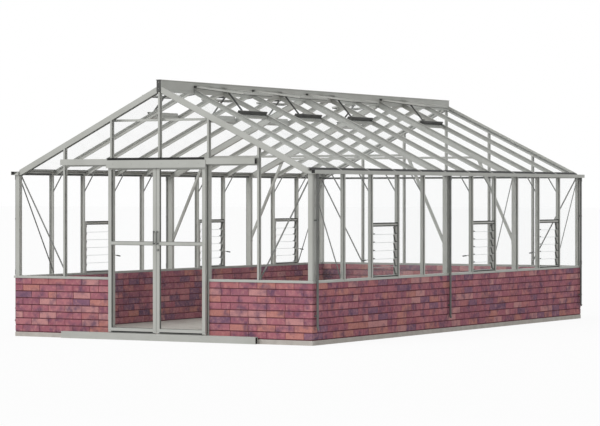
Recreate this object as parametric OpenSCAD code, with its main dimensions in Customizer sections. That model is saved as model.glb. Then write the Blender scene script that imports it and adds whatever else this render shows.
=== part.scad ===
// Glass greenhouse: an aluminium glazed house on a dwarf brick wall,
// with two sliding doors in the front gable. Millimetres, +Z up.
// The origin is on the ground under the middle of the house.
// The front gable faces -Y and the long sides face -X and +X.

/* [House] */
// Distance between neighbouring glazing bars
bay = 622; // [560:1:700]
// Panes across each gable
bays_across = 6; // [6:2:8]
// Panes along each side
bays_along = 11; // [11:1:12]
// Corner bar line to the outer face of a side wall
edge_x = 39; // [30:1:50]
// Corner bar line to the outer face of a gable wall
edge_y = 59; // [50:1:70]
// Slope of the roof in degrees
roof_pitch = 26; // [22:1:30]
// Bottom of the eaves beam above the ground
eaves_z = 1795; // [1720:1:1860]

/* [Base and wall] */
// Thickness of the concrete floor
slab_h = 50; // [40:1:80]
// Height of the brick wall
wall_h = 600; // [450:75:675]
// Thickness of the brick wall
wall_t = 102; // [98:1:140]
// Height of the sill bar on the wall
sill_h = 25; // [18:1:35]
// Width of the sill bar behind the wall face
sill_in = 70; // [64:1:90]
// Overhang of the sill bar in front of the wall face
sill_nose = 10; // [6:1:14]

/* [Frame] */
// Glass seat of the roof and gables behind their outer face
seat = 18; // [16:1:24]
// Glass seat of the side walls behind the brick face
side_seat = 4; // [4:1:12]
// Depth of a glazing bar behind the glass seat
bar_d = 36; // [30:1:44]
// Width of a glazing bar's flange
bar_w = 25; // [20:1:32]
// Width of the fin between two panes
fin_w = 10; // [8:1:14]
// Height of the fin above the glass seat
fin_h = 14; // [8:1:15]
// Depth of a portal post or rafter behind the glass seat
portal_d = 58; // [48:1:70]
// Width of a portal post or rafter
portal_w = 45; // [36:1:56]
// Depth of a gable rafter below the roof surface
verge_d = 60; // [55:1:75]
// Width of a gable rafter
verge_w = 50; // [42:1:60]
// Width of the glass seat in a gable rafter
verge_seat = 20; // [16:1:24]
// Thickness of the glass
glass_t = 4; // [3:1:6]
// Height of a knee brace's foot above the sill
knee_z = 365; // [250:5:500]
// Width of a knee brace
knee_w = 32; // [24:1:40]
// Underside of the collar tie above the eaves beam's bottom
tie_z = 226; // [190:1:280]
// Height of the collar tie
tie_h = 26; // [20:1:40]
// Width of an eaves stay
stay_w = 13; // [10:1:20]
// Drop of an eaves stay's foot below the eaves beam
stay_drop = 175; // [120:1:220]
// Width of a diagonal wind brace
strap_w = 16; // [12:1:24]
// Thickness of stays and wind braces
strap_t = 4; // [3:1:6]

/* [Ridge and eaves] */
// Width of the ridge beam
ridge_w = 54; // [44:1:64]
// Height of the ridge crest above the roof's apex line
ridge_up = 65; // [50:1:80]
// Overhang of the ridge cap on each side
cap_over = 7; // [4:1:12]
// Width of the gutter in front of the eaves beam
gutter_w = 45; // [38:1:60]
// Height of the gutter's front lip
gutter_h = 40; // [30:1:60]
// Thickness of the gutter's metal
gutter_t = 4; // [3:1:6]
// Overhang of the gutter past each gable
gutter_over = 20; // [10:1:40]
// Diameter of a downpipe
pipe_d = 25; // [20:1:32]
// Height of a downpipe's outlet above the ground
pipe_foot = 165; // [120:1:250]

/* [Doors] */
// Height of the door leaves' bottom edge above the ground
leaf_foot = 85; // [80:1:100]
// Height of the door leaves' top edge above the ground
leaf_top = 1895; // [1850:1:1900]
// Thickness of a door leaf
leaf_t = 32; // [28:1:40]
// Width of a door leaf's stile
stile_w = 40; // [36:1:60]
// Height of the top and bottom rails
rail_h = 45; // [38:1:60]
// Height of the middle rail
mid_rail_h = 33; // [25:1:45]
// Middle of the middle rail above the ground
mid_rail_z = 1050; // [950:5:1150]
// Gap between the two leaves when they are shut
leaf_gap = 5; // [5:1:10]
// Gap between a leaf's back and the wall's face
leaf_clear = 20; // [17:1:30]
// Width of a door jamb
jamb_w = 35; // [30:1:45]
// Outer face of a door jamb beyond the line of the gable bar over it
jamb_side = 15; // [12:1:20]
// Top of the door head above the leaves' top
head_up = 55; // [50:1:70]
// Height of the fascia in front of the leaves' top
fascia_h = 85; // [70:1:100]
// Length of a door pull
pull_h = 150; // [120:5:200]
// Diameter of a door pull
pull_d = 12; // [10:1:16]

/* [Windows] */
// Height of a louvre window
louvre_h = 595; // [500:5:700]
// Width of a louvre window's side channels
louvre_side = 32; // [26:1:40]
// Height of a louvre window's head
louvre_head = 42; // [34:1:50]
// Blades in a louvre window
blades = 6; // [5:1:7]
// Tilt of the louvre blades in degrees
blade_tilt = 14; // [10:1:20]
// Length of a roof vent down the slope
vent_l = 640; // [560:5:700]
// Angle by which the roof vents stand open
vent_open = 18; // [10:1:22]
// Width of a roof vent's frame
vent_frame = 26; // [20:1:34]

/* [Hidden] */
$fn = 48;

// Metal against metal, and glass in its seat
fit = 0.3;
// Edge of a pane beside a fin or a post
pane_gap = 0.6;

house_w = bays_across * bay + 2 * edge_x;
house_l = bays_along * bay + 2 * edge_y;
half_w = house_w / 2;
half_l = house_l / 2;
wall_top = slab_h + wall_h;
sill_top = wall_top + sill_h;
post_d = seat + bar_d;
// The eaves beam is as wide as the posts under it
beam_w = post_d;
// Inner face of the side walls' bars behind the brick face
side_in = side_seat + bar_d;
rise = tan(roof_pitch);
lean = cos(roof_pitch);

// The glass seat of the roof passes just over the eaves beam's outer edge
beam_lip = 10;
apex_z = eaves_z + beam_lip + half_w * rise + seat / lean;
slope_len = half_w / lean;

// Bars that carry a portal frame, and bays with a louvre window or a roof vent
portal_bars = [5, 8];
plain_bars = [for (j = [1:bays_along - 1]) if (!is_in(j, portal_bars)) j];
louvre_bays = [2, 6, 9];
vent_bays = [1, 3, 5, 8];
door_bars = [bays_across / 2 - 1, bays_across / 2 + 1];
track_half = 2 * bay;
door_half = bay + jamb_side;

function is_in(j, list) = len([for (k = list) if (k == j) k]) > 0;
function bar_half(j) = (is_in(j, portal_bars) ? portal_w : bar_w) / 2;
function bar_x(i) = -half_w + edge_x + i * bay;
function bar_y(j) = -half_l + edge_y + j * bay;
// Height of a line that lies n above the roof surface, over the point x
function roof_z(x, n) = apex_z - abs(x) * rise + n / lean;
// Underside of the ridge beam, level with the gable rafters' undersides
ridge_low = roof_z(0, -verge_d);
// Where the line through p along d meets the line through q along e
function meet(p, d, q, e) =
    let (k = ((q.x - p.x) * e.y - (q.y - p.y) * e.x) / (d.x * e.y - d.y * e.x)) p + k * d;

// Top of the door head, and the gable bars that stand on it
head_top = leaf_top + head_up;
function by_door(i) = i >= door_bars[0] && i <= door_bars[1];

// Thickness of the portal frames' braces and ties
brace_t = 20;
// Depth of the cross bars under the roof vents, and thickness of the upstands on them
cill_d = 30;
upstand_t = 12;

alu = [0.74, 0.75, 0.72];
dark = [0.28, 0.28, 0.27];
brick = [0.62, 0.33, 0.33];
concrete = [0.65, 0.63, 0.59];
clear = [0.86, 0.93, 0.92, 0.35];

// Copies a right-hand piece to the left side
module left_side() { mirror([1, 0, 0]) children(); }

// Places a piece on the right slope: x down the slope from the apex, z out of the roof
module on_slope() { translate([0, 0, apex_z]) rotate([0, roof_pitch, 0]) children(); }

// Section of a glazing bar: y points outward, 0 is the glass seat
module bar_section() {
    flange_t = 4;
    web = 4;
    bulb = 8;
    bulb_t = 8;
    polygon([[-fin_w / 2, fin_h], [-fin_w / 2, 0], [-bar_w / 2, 0], [-bar_w / 2, -flange_t],
        [-web, -flange_t], [-web, bulb_t - bar_d], [-bulb, bulb_t - bar_d], [-bulb, -bar_d],
        [bulb, -bar_d], [bulb, bulb_t - bar_d], [web, bulb_t - bar_d], [web, -flange_t],
        [bar_w / 2, -flange_t], [bar_w / 2, 0], [fin_w / 2, 0], [fin_w / 2, fin_h]]);
}

// Section of a portal post or rafter, with the same fin and glass seat
module portal_section() {
    polygon([[-fin_w / 2, fin_h], [-fin_w / 2, 0], [-portal_w / 2, 0], [-portal_w / 2, -portal_d],
        [portal_w / 2, -portal_d], [portal_w / 2, 0], [fin_w / 2, 0], [fin_w / 2, fin_h]]);
}

// A bar section stood up on the right wall at the line y
module on_right_wall(y, z0, z1) {
    translate([half_w - side_seat, y, z0]) linear_extrude(z1 - z0) rotate(-90) children();
}

// A bar section stood up on the front gable at the line x
module on_front(x, z0, z1) {
    translate([x, -half_l + seat, z0]) linear_extrude(z1 - z0) rotate(180) children();
}

// The space between the ridge beam and the right eaves beam, above the wall posts
module right_roof_space() {
    translate([ridge_w / 2 + fit, -half_l, eaves_z + fit])
        cube([half_w - beam_w - ridge_w / 2 - 2 * fit, house_l, apex_z]);
}

// A bar section laid down the right slope at the line y, cut plumb at the ridge and eaves beam
module down_slope(y) {
    intersection() {
        on_slope()
            translate([0, y, -seat])
                rotate([90, 0, 90]) linear_extrude(slope_len) children();
        right_roof_space();
    }
}

// A flat strip between two points of a plane, cut square at both ends
module strip(p, q, w) {
    d = q - p;
    translate(p) rotate(atan2(d.y, d.x)) translate([0, -w / 2]) square([norm(d), w]);
}

module floor_slab() {
    color(concrete) translate([-half_w, -half_l, 0]) cube([house_w, house_l, slab_h]);
}

module front_wall_right() {
    color(brick)
        translate([door_half, -half_l, slab_h]) cube([half_w - wall_t - door_half, wall_t, wall_h]);
}

module front_wall_left() { left_side() front_wall_right(); }

module right_wall() {
    color(brick) translate([half_w - wall_t, -half_l, slab_h]) cube([wall_t, house_l, wall_h]);
}

module left_wall() { left_side() right_wall(); }

module rear_wall() {
    color(brick)
        translate([wall_t - half_w, half_l - wall_t, slab_h]) cube([house_w - 2 * wall_t, wall_t, wall_h]);
}

// Section of the sill bar: x is the distance behind the wall face, y the height on the wall
module sill_section() {
    bevel = 3;
    polygon([[-sill_nose, 0], [-sill_nose, sill_h - bevel], [bevel - sill_nose, sill_h], [sill_in, sill_h],
        [sill_in, 0]]);
}

// Plan of a corner mitre that keeps the front run clear of the side run
module front_mitre() {
    out = sill_nose + fit;
    polygon([[-half_w - out, -half_l - out + fit], [half_w + out, -half_l - out + fit],
        [0, -half_l - out + fit + half_w + out]]);
}

// Plan of a corner mitre that keeps the side run clear of the front and rear runs
module side_mitre() {
    out = sill_nose + fit;
    polygon([[half_w + out, -half_l - out + 2 * fit], [half_w + out, half_l + out - 2 * fit],
        [half_w - sill_in - out, half_l - sill_in - out - 2 * fit],
        [half_w - sill_in - out, sill_in + out + 2 * fit - half_l]]);
}

// A sill along the front wall from x0 to x1
module front_sill(x0, x1) {
    intersection() {
        translate([x0, -half_l, wall_top]) rotate([90, 0, 90]) linear_extrude(x1 - x0) sill_section();
        linear_extrude(apex_z) front_mitre();
    }
}

module right_sill() {
    intersection() {
        translate([half_w, -half_l - sill_nose, wall_top])
            rotate([90, 0, 180]) linear_extrude(house_l + 2 * sill_nose) sill_section();
        linear_extrude(apex_z) side_mitre();
    }
}

module wall_sills() {
    color(alu) {
        front_sill(door_half, half_w + sill_nose);
        left_side() front_sill(door_half, half_w + sill_nose);
        rotate(180) front_sill(-half_w - sill_nose, half_w + sill_nose);
        right_sill();
        left_side() right_sill();
    }
}

// A corner post with a rounded outer corner, from the sill to the eaves beam
module corner_post() {
    round_r = 14;
    translate([half_w - post_d, -half_l, sill_top])
        linear_extrude(eaves_z - sill_top)
            difference() {
                square(post_d);
                translate([post_d - round_r, 0])
                    difference() {
                        square(round_r);
                        translate([0, round_r]) circle(round_r);
                    }
            }
}

module corner_posts() {
    color(alu)
        for (m = [0, 1], n = [0, 1]) mirror([m, 0, 0]) mirror([0, n, 0]) corner_post();
}

module right_wall_bars() {
    color(alu)
        for (j = plain_bars) on_right_wall(bar_y(j), sill_top, eaves_z) bar_section();
}

module left_wall_bars() { left_side() right_wall_bars(); }

module right_roof_bars() {
    color(alu) for (j = plain_bars) down_slope(bar_y(j)) bar_section();
    // Cross bars under the open roof vents
    cill_w = 40;
    color(alu)
        on_slope()
            for (j = vent_bays)
                translate([vent_l, bar_y(j) + bar_half(j) + fit, -seat - cill_d])
                    cube([cill_w, bay - bar_half(j) - bar_half(j + 1) - 2 * fit, cill_d]);
}

module left_roof_bars() { left_side() right_roof_bars(); }

// Section of a gable rafter: x runs into the house from the gable's face
module verge_section() {
    polygon([[0, -verge_d], [verge_w, -verge_d], [verge_w, -seat], [verge_w - verge_seat, -seat],
        [verge_w - verge_seat, 0], [0, 0]]);
}

module gable_rafter() {
    intersection() {
        on_slope()
            translate([0, -half_l, 0]) rotate([90, 0, 90]) linear_extrude(slope_len) verge_section();
        right_roof_space();
    }
}

module gable_rafters() {
    color(alu)
        for (m = [0, 1], n = [0, 1]) mirror([m, 0, 0]) mirror([0, n, 0]) gable_rafter();
}

// Everything in a gable that is under its rafters
module under_rafters() {
    peak = ridge_low - fit;
    foot = roof_z(half_w, -verge_d) - fit;
    translate([0, half_l, 0])
        rotate([90, 0, 0])
            linear_extrude(house_l)
                polygon([[-half_w, 0], [half_w, 0], [half_w, foot], [0, peak], [-half_w, foot]]);
}

// Bars of the front gable: whole ones beside the doors, short ones over the door head
module front_gable_bars() {
    collar_h = 26;
    collar_z = roof_z(bay, -verge_d) - collar_h / 2;
    color(alu) {
        intersection() {
            for (i = [1:bays_across - 1])
                on_front(bar_x(i), by_door(i) ? head_top + fit : sill_top, apex_z) bar_section();
            under_rafters();
        }
        translate([-bay, post_d + fit - half_l, collar_z]) cube([2 * bay, bar_w / 2, collar_h]);
    }
}

// Bars of the rear gable, with a rail at eaves height behind them
module rear_gable_bars() {
    rail_d = 14;
    rail_drop = 6;
    rail_z = eaves_z - rail_drop;
    color(alu) {
        intersection() {
            for (i = [1:bays_across - 1])
                rotate(180) on_front(bar_x(i), sill_top, apex_z) bar_section();
            under_rafters();
        }
        translate([beam_w - half_w + fit, half_l - post_d - fit - rail_d, rail_z])
            cube([house_w - 2 * beam_w - 2 * fit, rail_d, bar_w]);
    }
}

// Right half of a portal frame: post, rafter and knee brace
module portal_half(y) {
    on_right_wall(y, sill_top, eaves_z) portal_section();
    down_slope(y) portal_section();
    post_in = half_w - side_seat - portal_d - fit;
    under = -seat - portal_d - fit;
    foot = [post_in, sill_top + knee_z];
    knee_top = eaves_z + tie_z - knee_w;
    top = [tie_x(knee_top), knee_top];
    across = [top.y - foot.y, foot.x - top.x] / norm(top - foot) * knee_w / 2;
    slope_dir = [1, -rise];
    low_a = meet(foot + across, top - foot, foot, [0, 1]);
    low_b = meet(foot - across, top - foot, foot, [0, 1]);
    high_a = meet(foot + across, top - foot, [0, roof_z(0, under)], slope_dir);
    high_b = meet(foot - across, top - foot, [0, roof_z(0, under)], slope_dir);
    translate([0, y + brace_t / 2, 0])
        rotate([90, 0, 0]) linear_extrude(brace_t) polygon([low_a, high_a, high_b, low_b]);
}

// Distance from the middle to the portal rafters' undersides at the height z
function tie_x(z) = (roof_z(0, -seat - portal_d) - z) / rise;

module portal_frame(y) {
    low = eaves_z + tie_z;
    high = low + tie_h;
    low_half = tie_x(low) - fit;
    high_half = tie_x(high) - fit;
    crown_h = 24;
    color(alu) {
        portal_half(y);
        left_side() portal_half(y);
        translate([0, y + brace_t / 2, 0])
            rotate([90, 0, 0])
                linear_extrude(brace_t)
                    polygon([[-low_half, low], [low_half, low], [high_half, high], [-high_half, high]]);
        translate([-ridge_w / 2, y - portal_w / 2, ridge_low - fit - crown_h])
            cube([ridge_w, portal_w, crown_h]);
    }
}

module front_portal_frame() { portal_frame(bar_y(portal_bars[0])); }

module rear_portal_frame() { portal_frame(bar_y(portal_bars[1])); }

// A stay from a wall bar up to its roof bar
module eaves_stay(y) {
    stay_pitch = 58;
    foot = [half_w - side_in - fit, eaves_z - stay_drop];
    d = [-cos(stay_pitch), sin(stay_pitch)];
    across = [d.y, -d.x] * stay_w / 2;
    under = [0, roof_z(0, -post_d - fit)];
    slope_dir = [1, -rise];
    ends = [meet(foot + across, d, foot, [0, 1]), meet(foot + across, d, under, slope_dir),
        meet(foot - across, d, under, slope_dir), meet(foot - across, d, foot, [0, 1])];
    translate([0, y + strap_t / 2, 0]) rotate([90, 0, 0]) linear_extrude(strap_t) polygon(ends);
}

module eaves_stays() {
    color(alu)
        for (m = [0, 1], j = plain_bars) mirror([m, 0, 0]) eaves_stay(bar_y(j));
}

// A diagonal strap on the right wall, from high on the line y0 to low on the line y1
module side_strap(y0, y1, drop) {
    high = [y0, eaves_z - drop];
    low = [y1, sill_top + strap_w];
    translate([half_w - side_in - fit - strap_t, 0, 0])
        rotate([90, 0, 90]) linear_extrude(strap_t) strip(high, low, strap_w);
}

// A diagonal strap on the front gable, from the right corner post to the foot of the next bar
module gable_strap() {
    hold = 6;
    high = [half_w - post_d + hold, eaves_z - strap_w];
    low = [bar_x(bays_across - 1), sill_top + strap_w];
    translate([0, post_d + fit + strap_t - half_l, 0])
        rotate([90, 0, 0]) linear_extrude(strap_t) strip(high, low, strap_w);
}

module wind_braces() {
    corner_drop = 85;
    color(alu) {
        for (m = [0, 1], n = [0, 1]) {
            mirror([m, 0, 0]) mirror([0, n, 0]) side_strap(post_d + strap_w / 2 - half_l, bar_y(1), corner_drop);
            mirror([m, 0, 0]) mirror([0, n, 0]) gable_strap();
        }
        side_strap(bar_y(portal_bars[1]) - portal_w / 2 - strap_w, bar_y(portal_bars[1] - 1), strap_w);
    }
}

// The ridge: a deep beam with a cap that overhangs its sides
module ridge_beam() {
    cap_t = 8;
    half = ridge_w / 2;
    wing = half + cap_over;
    top = apex_z + ridge_up;
    color(alu)
        translate([0, half_l, 0])
            rotate([90, 0, 0])
                linear_extrude(house_l)
                    polygon([[-half, ridge_low], [half, ridge_low], [half, top - cap_t],
                        [wing, top - cap_t], [wing, top - cap_t / 2], [half, top], [-half, top],
                        [-wing, top - cap_t / 2], [-wing, top - cap_t], [-half, top - cap_t]]);
}

// Eaves beam and gutter in one section, on the right side
module right_gutter() {
    out = half_w + gutter_w;
    roof_out = roof_z(half_w, -seat) - fit;
    roof_in = roof_z(half_w - beam_w, -seat) - fit;
    color(alu)
        translate([0, half_l + gutter_over, 0])
            rotate([90, 0, 0])
                linear_extrude(house_l + 2 * gutter_over)
                    polygon([[half_w - beam_w, eaves_z], [out, eaves_z], [out, eaves_z + gutter_h],
                        [out - gutter_t, eaves_z + gutter_h], [out - gutter_t, eaves_z + gutter_t],
                        [half_w, eaves_z + gutter_t], [half_w, roof_out], [half_w - beam_w, roof_in]]);
}

module left_gutter() { left_side() right_gutter(); }

// A downpipe on the right wall with an outlet that turns away from the wall
module downpipe(y) {
    bend_r = 26;
    pipe_gap = 5;
    pipe_x = half_w + sill_nose + pipe_gap + pipe_d / 2;
    translate([pipe_x, y, pipe_foot + bend_r])
        cylinder(d = pipe_d, h = eaves_z - fit - pipe_foot - bend_r);
    translate([pipe_x + bend_r, y, pipe_foot + bend_r])
        rotate([90, 0, 0])
            rotate([0, 0, 180]) rotate_extrude(angle = 60) translate([bend_r, 0]) circle(d = pipe_d);
}

module downpipes() {
    inset = 60;
    color(dark)
        for (m = [0, 1], y = [-half_l + inset, bar_y(portal_bars[0]), half_l - inset])
            mirror([m, 0, 0]) downpipe(y);
}

// Start and end of the pane in a bay along the house
function pane_y0(j) = (j == 0 ? -half_l + post_d : bar_y(j) + fin_w / 2) + pane_gap;
function pane_y1(j) = (j == bays_along - 1 ? half_l - post_d : bar_y(j + 1) - fin_w / 2) - pane_gap;

module right_wall_glass() {
    color(clear)
        for (j = [0:bays_along - 1]) {
            z0 = sill_top + (is_in(j, louvre_bays) ? louvre_h : 0) + fit;
            translate([half_w - side_seat + fit, pane_y0(j), z0])
                cube([glass_t, pane_y1(j) - pane_y0(j), eaves_z - fit - z0]);
        }
}

module left_wall_glass() { left_side() right_wall_glass(); }

module right_roof_glass() {
    drip = 10;
    low = (half_w + drip) / lean;
    ridge_gap = (ridge_w / 2 + seat * sin(roof_pitch)) / lean + fit;
    color(clear)
        on_slope()
            for (j = [0:bays_along - 1]) {
                high = is_in(j, vent_bays) ? vent_l + upstand_t + fit : ridge_gap;
                y0 = j == 0 ? -half_l + verge_w - verge_seat + pane_gap : pane_y0(j);
                y1 = j == bays_along - 1 ? half_l - verge_w + verge_seat - pane_gap : pane_y1(j);
                translate([high, y0, -seat + fit]) cube([low - high, y1 - y0, glass_t]);
            }
}

module left_roof_glass() { left_side() right_roof_glass(); }

// A pane of the front gable in the bay i, from the height z0 up to the rafters,
// with jamb as the half width of the posts beside the doorway
module gable_pane(i, z0, jamb) {
    x0 = (i == 0 ? -half_w + post_d : bar_x(i) + (i == door_bars[1] ? jamb : fin_w / 2)) + pane_gap;
    x1 = (i == bays_across - 1 ? half_w - post_d
        : bar_x(i + 1) - (i + 1 == door_bars[0] ? jamb : fin_w / 2)) - pane_gap;
    translate([0, seat - fit - half_l, 0])
        rotate([90, 0, 0])
            linear_extrude(glass_t)
                polygon([[x0, z0], [x1, z0], [x1, roof_z(x1, -verge_d) - fit],
                    [x0, roof_z(x0, -verge_d) - fit]]);
}

module front_gable_glass() {
    color(clear)
        for (i = [0:bays_across - 1])
            gable_pane(i, (i < door_bars[0] || i >= door_bars[1] ? sill_top : head_top) + fit, jamb_side);
}

module rear_gable_glass() {
    color(clear) rotate(180) for (i = [0:bays_across - 1]) gable_pane(i, sill_top + fit, fin_w / 2);
}

louvre_w = bay - bar_w - 2 * fit;
louvre_d = 30;
louvre_foot = 14;

// The frame of a louvre window, standing on the sill between two bars
module louvre_frame(j) {
    translate([half_w - side_seat - louvre_d, bar_y(j) + bar_w / 2 + fit, sill_top])
        difference() {
            cube([louvre_d, louvre_w, louvre_h]);
            translate([-1, louvre_side, louvre_foot])
                cube([louvre_d + 2, louvre_w - 2 * louvre_side, louvre_h - louvre_foot - louvre_head]);
        }
}

module louvre_frames() {
    color(alu) for (m = [0, 1], j = louvre_bays) mirror([m, 0, 0]) louvre_frame(j);
}

// The glass blades of a louvre window, tilted between its side channels with their lower edges out
module blade_set(j) {
    open_h = louvre_h - louvre_foot - louvre_head;
    pitch = open_h / blades;
    blade_h = pitch - 2 * fit;
    blade_w = louvre_w - 2 * louvre_side - 2 * fit;
    for (k = [0:blades - 1])
        translate([half_w - side_seat - louvre_d / 2, bar_y(j) + bay / 2, sill_top + louvre_foot + pitch * (k + 0.5)])
            rotate([0, -blade_tilt, 0])
                cube([glass_t, blade_w, blade_h], center = true);
}

module louvre_blades() {
    color(clear) for (m = [0, 1], j = louvre_bays) mirror([m, 0, 0]) blade_set(j);
}

// The lever that works a louvre window of the right wall, on the inner face of the channel at the line y
module louvre_handle(y) {
    base_h = 60;
    base_t = 8;
    lever_l = 95;
    lever_d = 10;
    droop = 8;
    x = half_w - side_seat - louvre_d - fit;
    handle_z = 195;
    z = sill_top + handle_z;
    translate([x - base_t, y - lever_d, z - base_h / 2]) cube([base_t, 2 * lever_d, base_h]);
    translate([x - base_t / 2, y, z]) rotate([0, -90 - droop, 0]) cylinder(d = lever_d, h = lever_l);
}

// Seen from inside, each lever is on its window's right-hand channel
module louvre_handles() {
    to_channel = bar_w / 2 + fit + louvre_side / 2;
    color(alu)
        for (j = louvre_bays) {
            louvre_handle(bar_y(j) + to_channel);
            left_side() louvre_handle(bar_y(j + 1) - to_channel);
        }
}

vent_t = 20;
// A vent's frame laps over the fins beside it
vent_lap = 1;
vent_side = fin_w / 2 + vent_lap;
hinge_up = 22;
// Depth of the groove for a vent's glass, and the frame above it
vent_groove = 8;
vent_cover = 6;

// Places a piece in the plane of an open vent on the right slope, hinged at the ridge
module on_vent(j) {
    translate([ridge_w / 2 + fit, bar_y(j), apex_z + hinge_up])
        rotate([0, roof_pitch - vent_open, 0]) children();
}

// The frame of a roof vent, with a rebate for its glass
module vent_sash(j) {
    w = bay + 2 * vent_side;
    groove_in = vent_frame - vent_groove;
    on_vent(j)
        translate([0, -vent_side, -vent_t])
            difference() {
                cube([vent_l, w, vent_t]);
                translate([vent_frame, vent_frame, -1])
                    cube([vent_l - 2 * vent_frame, w - 2 * vent_frame, vent_t + 2]);
                translate([groove_in, groove_in, vent_t - glass_t - vent_cover])
                    cube([vent_l - 2 * groove_in, w - 2 * groove_in, glass_t + 2 * fit]);
            }
}

module roof_vents() {
    color(alu)
        for (m = [0, 1])
            mirror([m, 0, 0])
                intersection() {
                    for (j = vent_bays) vent_sash(j);
                    translate([ridge_w / 2 + fit, -half_l, 0]) cube([half_w, house_l, 2 * apex_z]);
                }
}

module vent_pane(j) {
    w = bay + 2 * vent_side;
    pane_in = vent_frame - vent_groove + pane_gap;
    on_vent(j)
        translate([pane_in, pane_in - vent_side, -glass_t - vent_cover + fit])
            cube([vent_l - 2 * pane_in, w - 2 * pane_in, glass_t]);
}

module vent_glass() {
    color(clear) for (m = [0, 1], j = vent_bays) mirror([m, 0, 0]) vent_pane(j);
}

// The opener that holds a vent: an upstand on the cross bar, and two arms up to a plate under the sash
module vent_opener(j) {
    upstand_h = 45;
    arm_w = 12;
    arm_t = 5;
    arm_pitch = 16;
    arm_in = 100;
    arm_share = 0.6;
    arm_s = arm_share * vent_l;
    lug_w = 24;
    lug_t = 4;
    sag = roof_pitch - vent_open;
    foot_s = vent_l + upstand_t / 2;
    foot_n = upstand_h - seat - arm_w;
    foot = [foot_s * lean + foot_n * sin(roof_pitch), apex_z - foot_s * sin(roof_pitch) + foot_n * lean];
    head_n = -vent_t - lug_t;
    head = [ridge_w / 2 + arm_s * cos(sag) + head_n * sin(sag),
        apex_z + hinge_up - arm_s * sin(sag) + head_n * cos(sag)];
    on_slope()
        translate([vent_l, bar_y(j) + fin_w / 2 + fit, fit - seat])
            cube([upstand_t, bay - fin_w - 2 * fit, upstand_h]);
    for (y = [arm_in - arm_pitch / 2, arm_in + arm_pitch / 2])
        translate([0, bar_y(j) + y + arm_t / 2, 0])
            rotate([90, 0, 0]) linear_extrude(arm_t) strip(foot, head, arm_w);
    on_vent(j)
        translate([arm_s - lug_w, 0, -vent_t - fit - 2 * lug_t]) cube([2 * lug_w, arm_in + arm_pitch, 2 * lug_t]);
}

module vent_openers() {
    color(dark) for (m = [0, 1], j = vent_bays) mirror([m, 0, 0]) vent_opener(j);
}

// Jambs and head of the doorway, in the plane of the front gable
module door_frame() {
    head_h = 60;
    head_z = head_top - head_h;
    color(alu) {
        for (m = [0, 1])
            mirror([m, 0, 0])
                translate([door_half - jamb_w, -half_l, slab_h])
                    cube([jamb_w, post_d, head_z - fit - slab_h]);
        translate([-door_half, -half_l, head_z]) cube([2 * door_half, post_d, head_h]);
    }
}

// Outer face of the doors' top track in front of the gable, and the ledge that the rollers run on
track_gap = 18;
track_out = leaf_clear + leaf_t + track_gap;
ledge_up = 18;
ledge_z = leaf_top + ledge_up;
ledge_t = 4;
ledge_w = 20;
plate_t = 5;

// Section of the top track: x runs forward from the gable's face, y is the height
module track_section() {
    track_up = 70;
    plate_drop = 10;
    lip_up = 5;
    top = leaf_top + track_up;
    low = leaf_top - plate_drop;
    lip = leaf_top + lip_up;
    polygon([[0, low], [plate_t, low], [plate_t, ledge_z - ledge_t], [plate_t + ledge_w, ledge_z - ledge_t],
        [plate_t + ledge_w, ledge_z], [plate_t, ledge_z], [plate_t, top - plate_t],
        [track_out - plate_t, top - plate_t], [track_out - plate_t, lip], [track_out, lip],
        [track_out, top], [0, top]]);
}

module door_track() {
    fascia_t = 6;
    fascia_z = head_top - fascia_h;
    color(alu) {
        translate([-track_half, -half_l, 0])
            rotate([90, 0, 90]) linear_extrude(2 * track_half) mirror([1, 0]) track_section();
        translate([-door_half, -half_l - track_out - fascia_t, fascia_z])
            cube([2 * door_half, fascia_t, fascia_h]);
    }
}

guide_fin = 6;
guide_slot = 28;

// The floor channel that keeps the doors' bottom edges in line
module door_guide() {
    mid = leaf_clear + leaf_t / 2;
    lip_t = 6;
    foot_gap = 10;
    trough = 20;
    top = leaf_foot - foot_gap;
    floor_z = top - trough;
    color(alu)
        translate([-track_half, -half_l, 0])
            rotate([90, 0, 90])
                linear_extrude(2 * track_half)
                    mirror([1, 0])
                        polygon([[0, 0], [mid + guide_slot / 2 + lip_t, 0],
                            [mid + guide_slot / 2 + lip_t, top], [mid + guide_slot / 2, top],
                            [mid + guide_slot / 2, floor_z], [mid - guide_slot / 2, floor_z],
                            [mid - guide_slot / 2, top], [0, top]]);
}

leaf_w = bay - leaf_gap / 2;
leaf_h = leaf_top - leaf_foot;
groove = 8;

// Moves a piece from the leaf's own corner to the right leaf's place
module at_leaf() { translate([leaf_gap / 2, -half_l - leaf_clear - leaf_t, leaf_foot]) children(); }

// Heights of the two panes of a leaf, from the leaf's bottom edge
pane_low = [rail_h, mid_rail_z - leaf_foot - mid_rail_h / 2];
pane_high = [mid_rail_z - leaf_foot + mid_rail_h / 2, leaf_h - rail_h];

// A roller that carries the leaf on the track's ledge
module hanger(x) {
    wheel_r = 16;
    wheel_t = 10;
    axle_r = 5;
    plate_w = 30;
    axle_z = ledge_z - leaf_foot + wheel_r + fit;
    wheel_y = leaf_t + leaf_clear - plate_t - ledge_w / 2;
    arm_y = 10;
    translate([x - plate_w / 2, arm_y, leaf_h - rail_h / 2])
        cube([plate_w, plate_t, axle_z + wheel_r / 2 - leaf_h + rail_h / 2]);
    translate([x, wheel_y + wheel_t / 2, axle_z]) rotate([90, 0, 0]) cylinder(r = wheel_r, h = wheel_t);
    translate([x, wheel_y, axle_z]) rotate([90, 0, 0]) cylinder(r = axle_r, h = wheel_y - arm_y);
}

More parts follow.
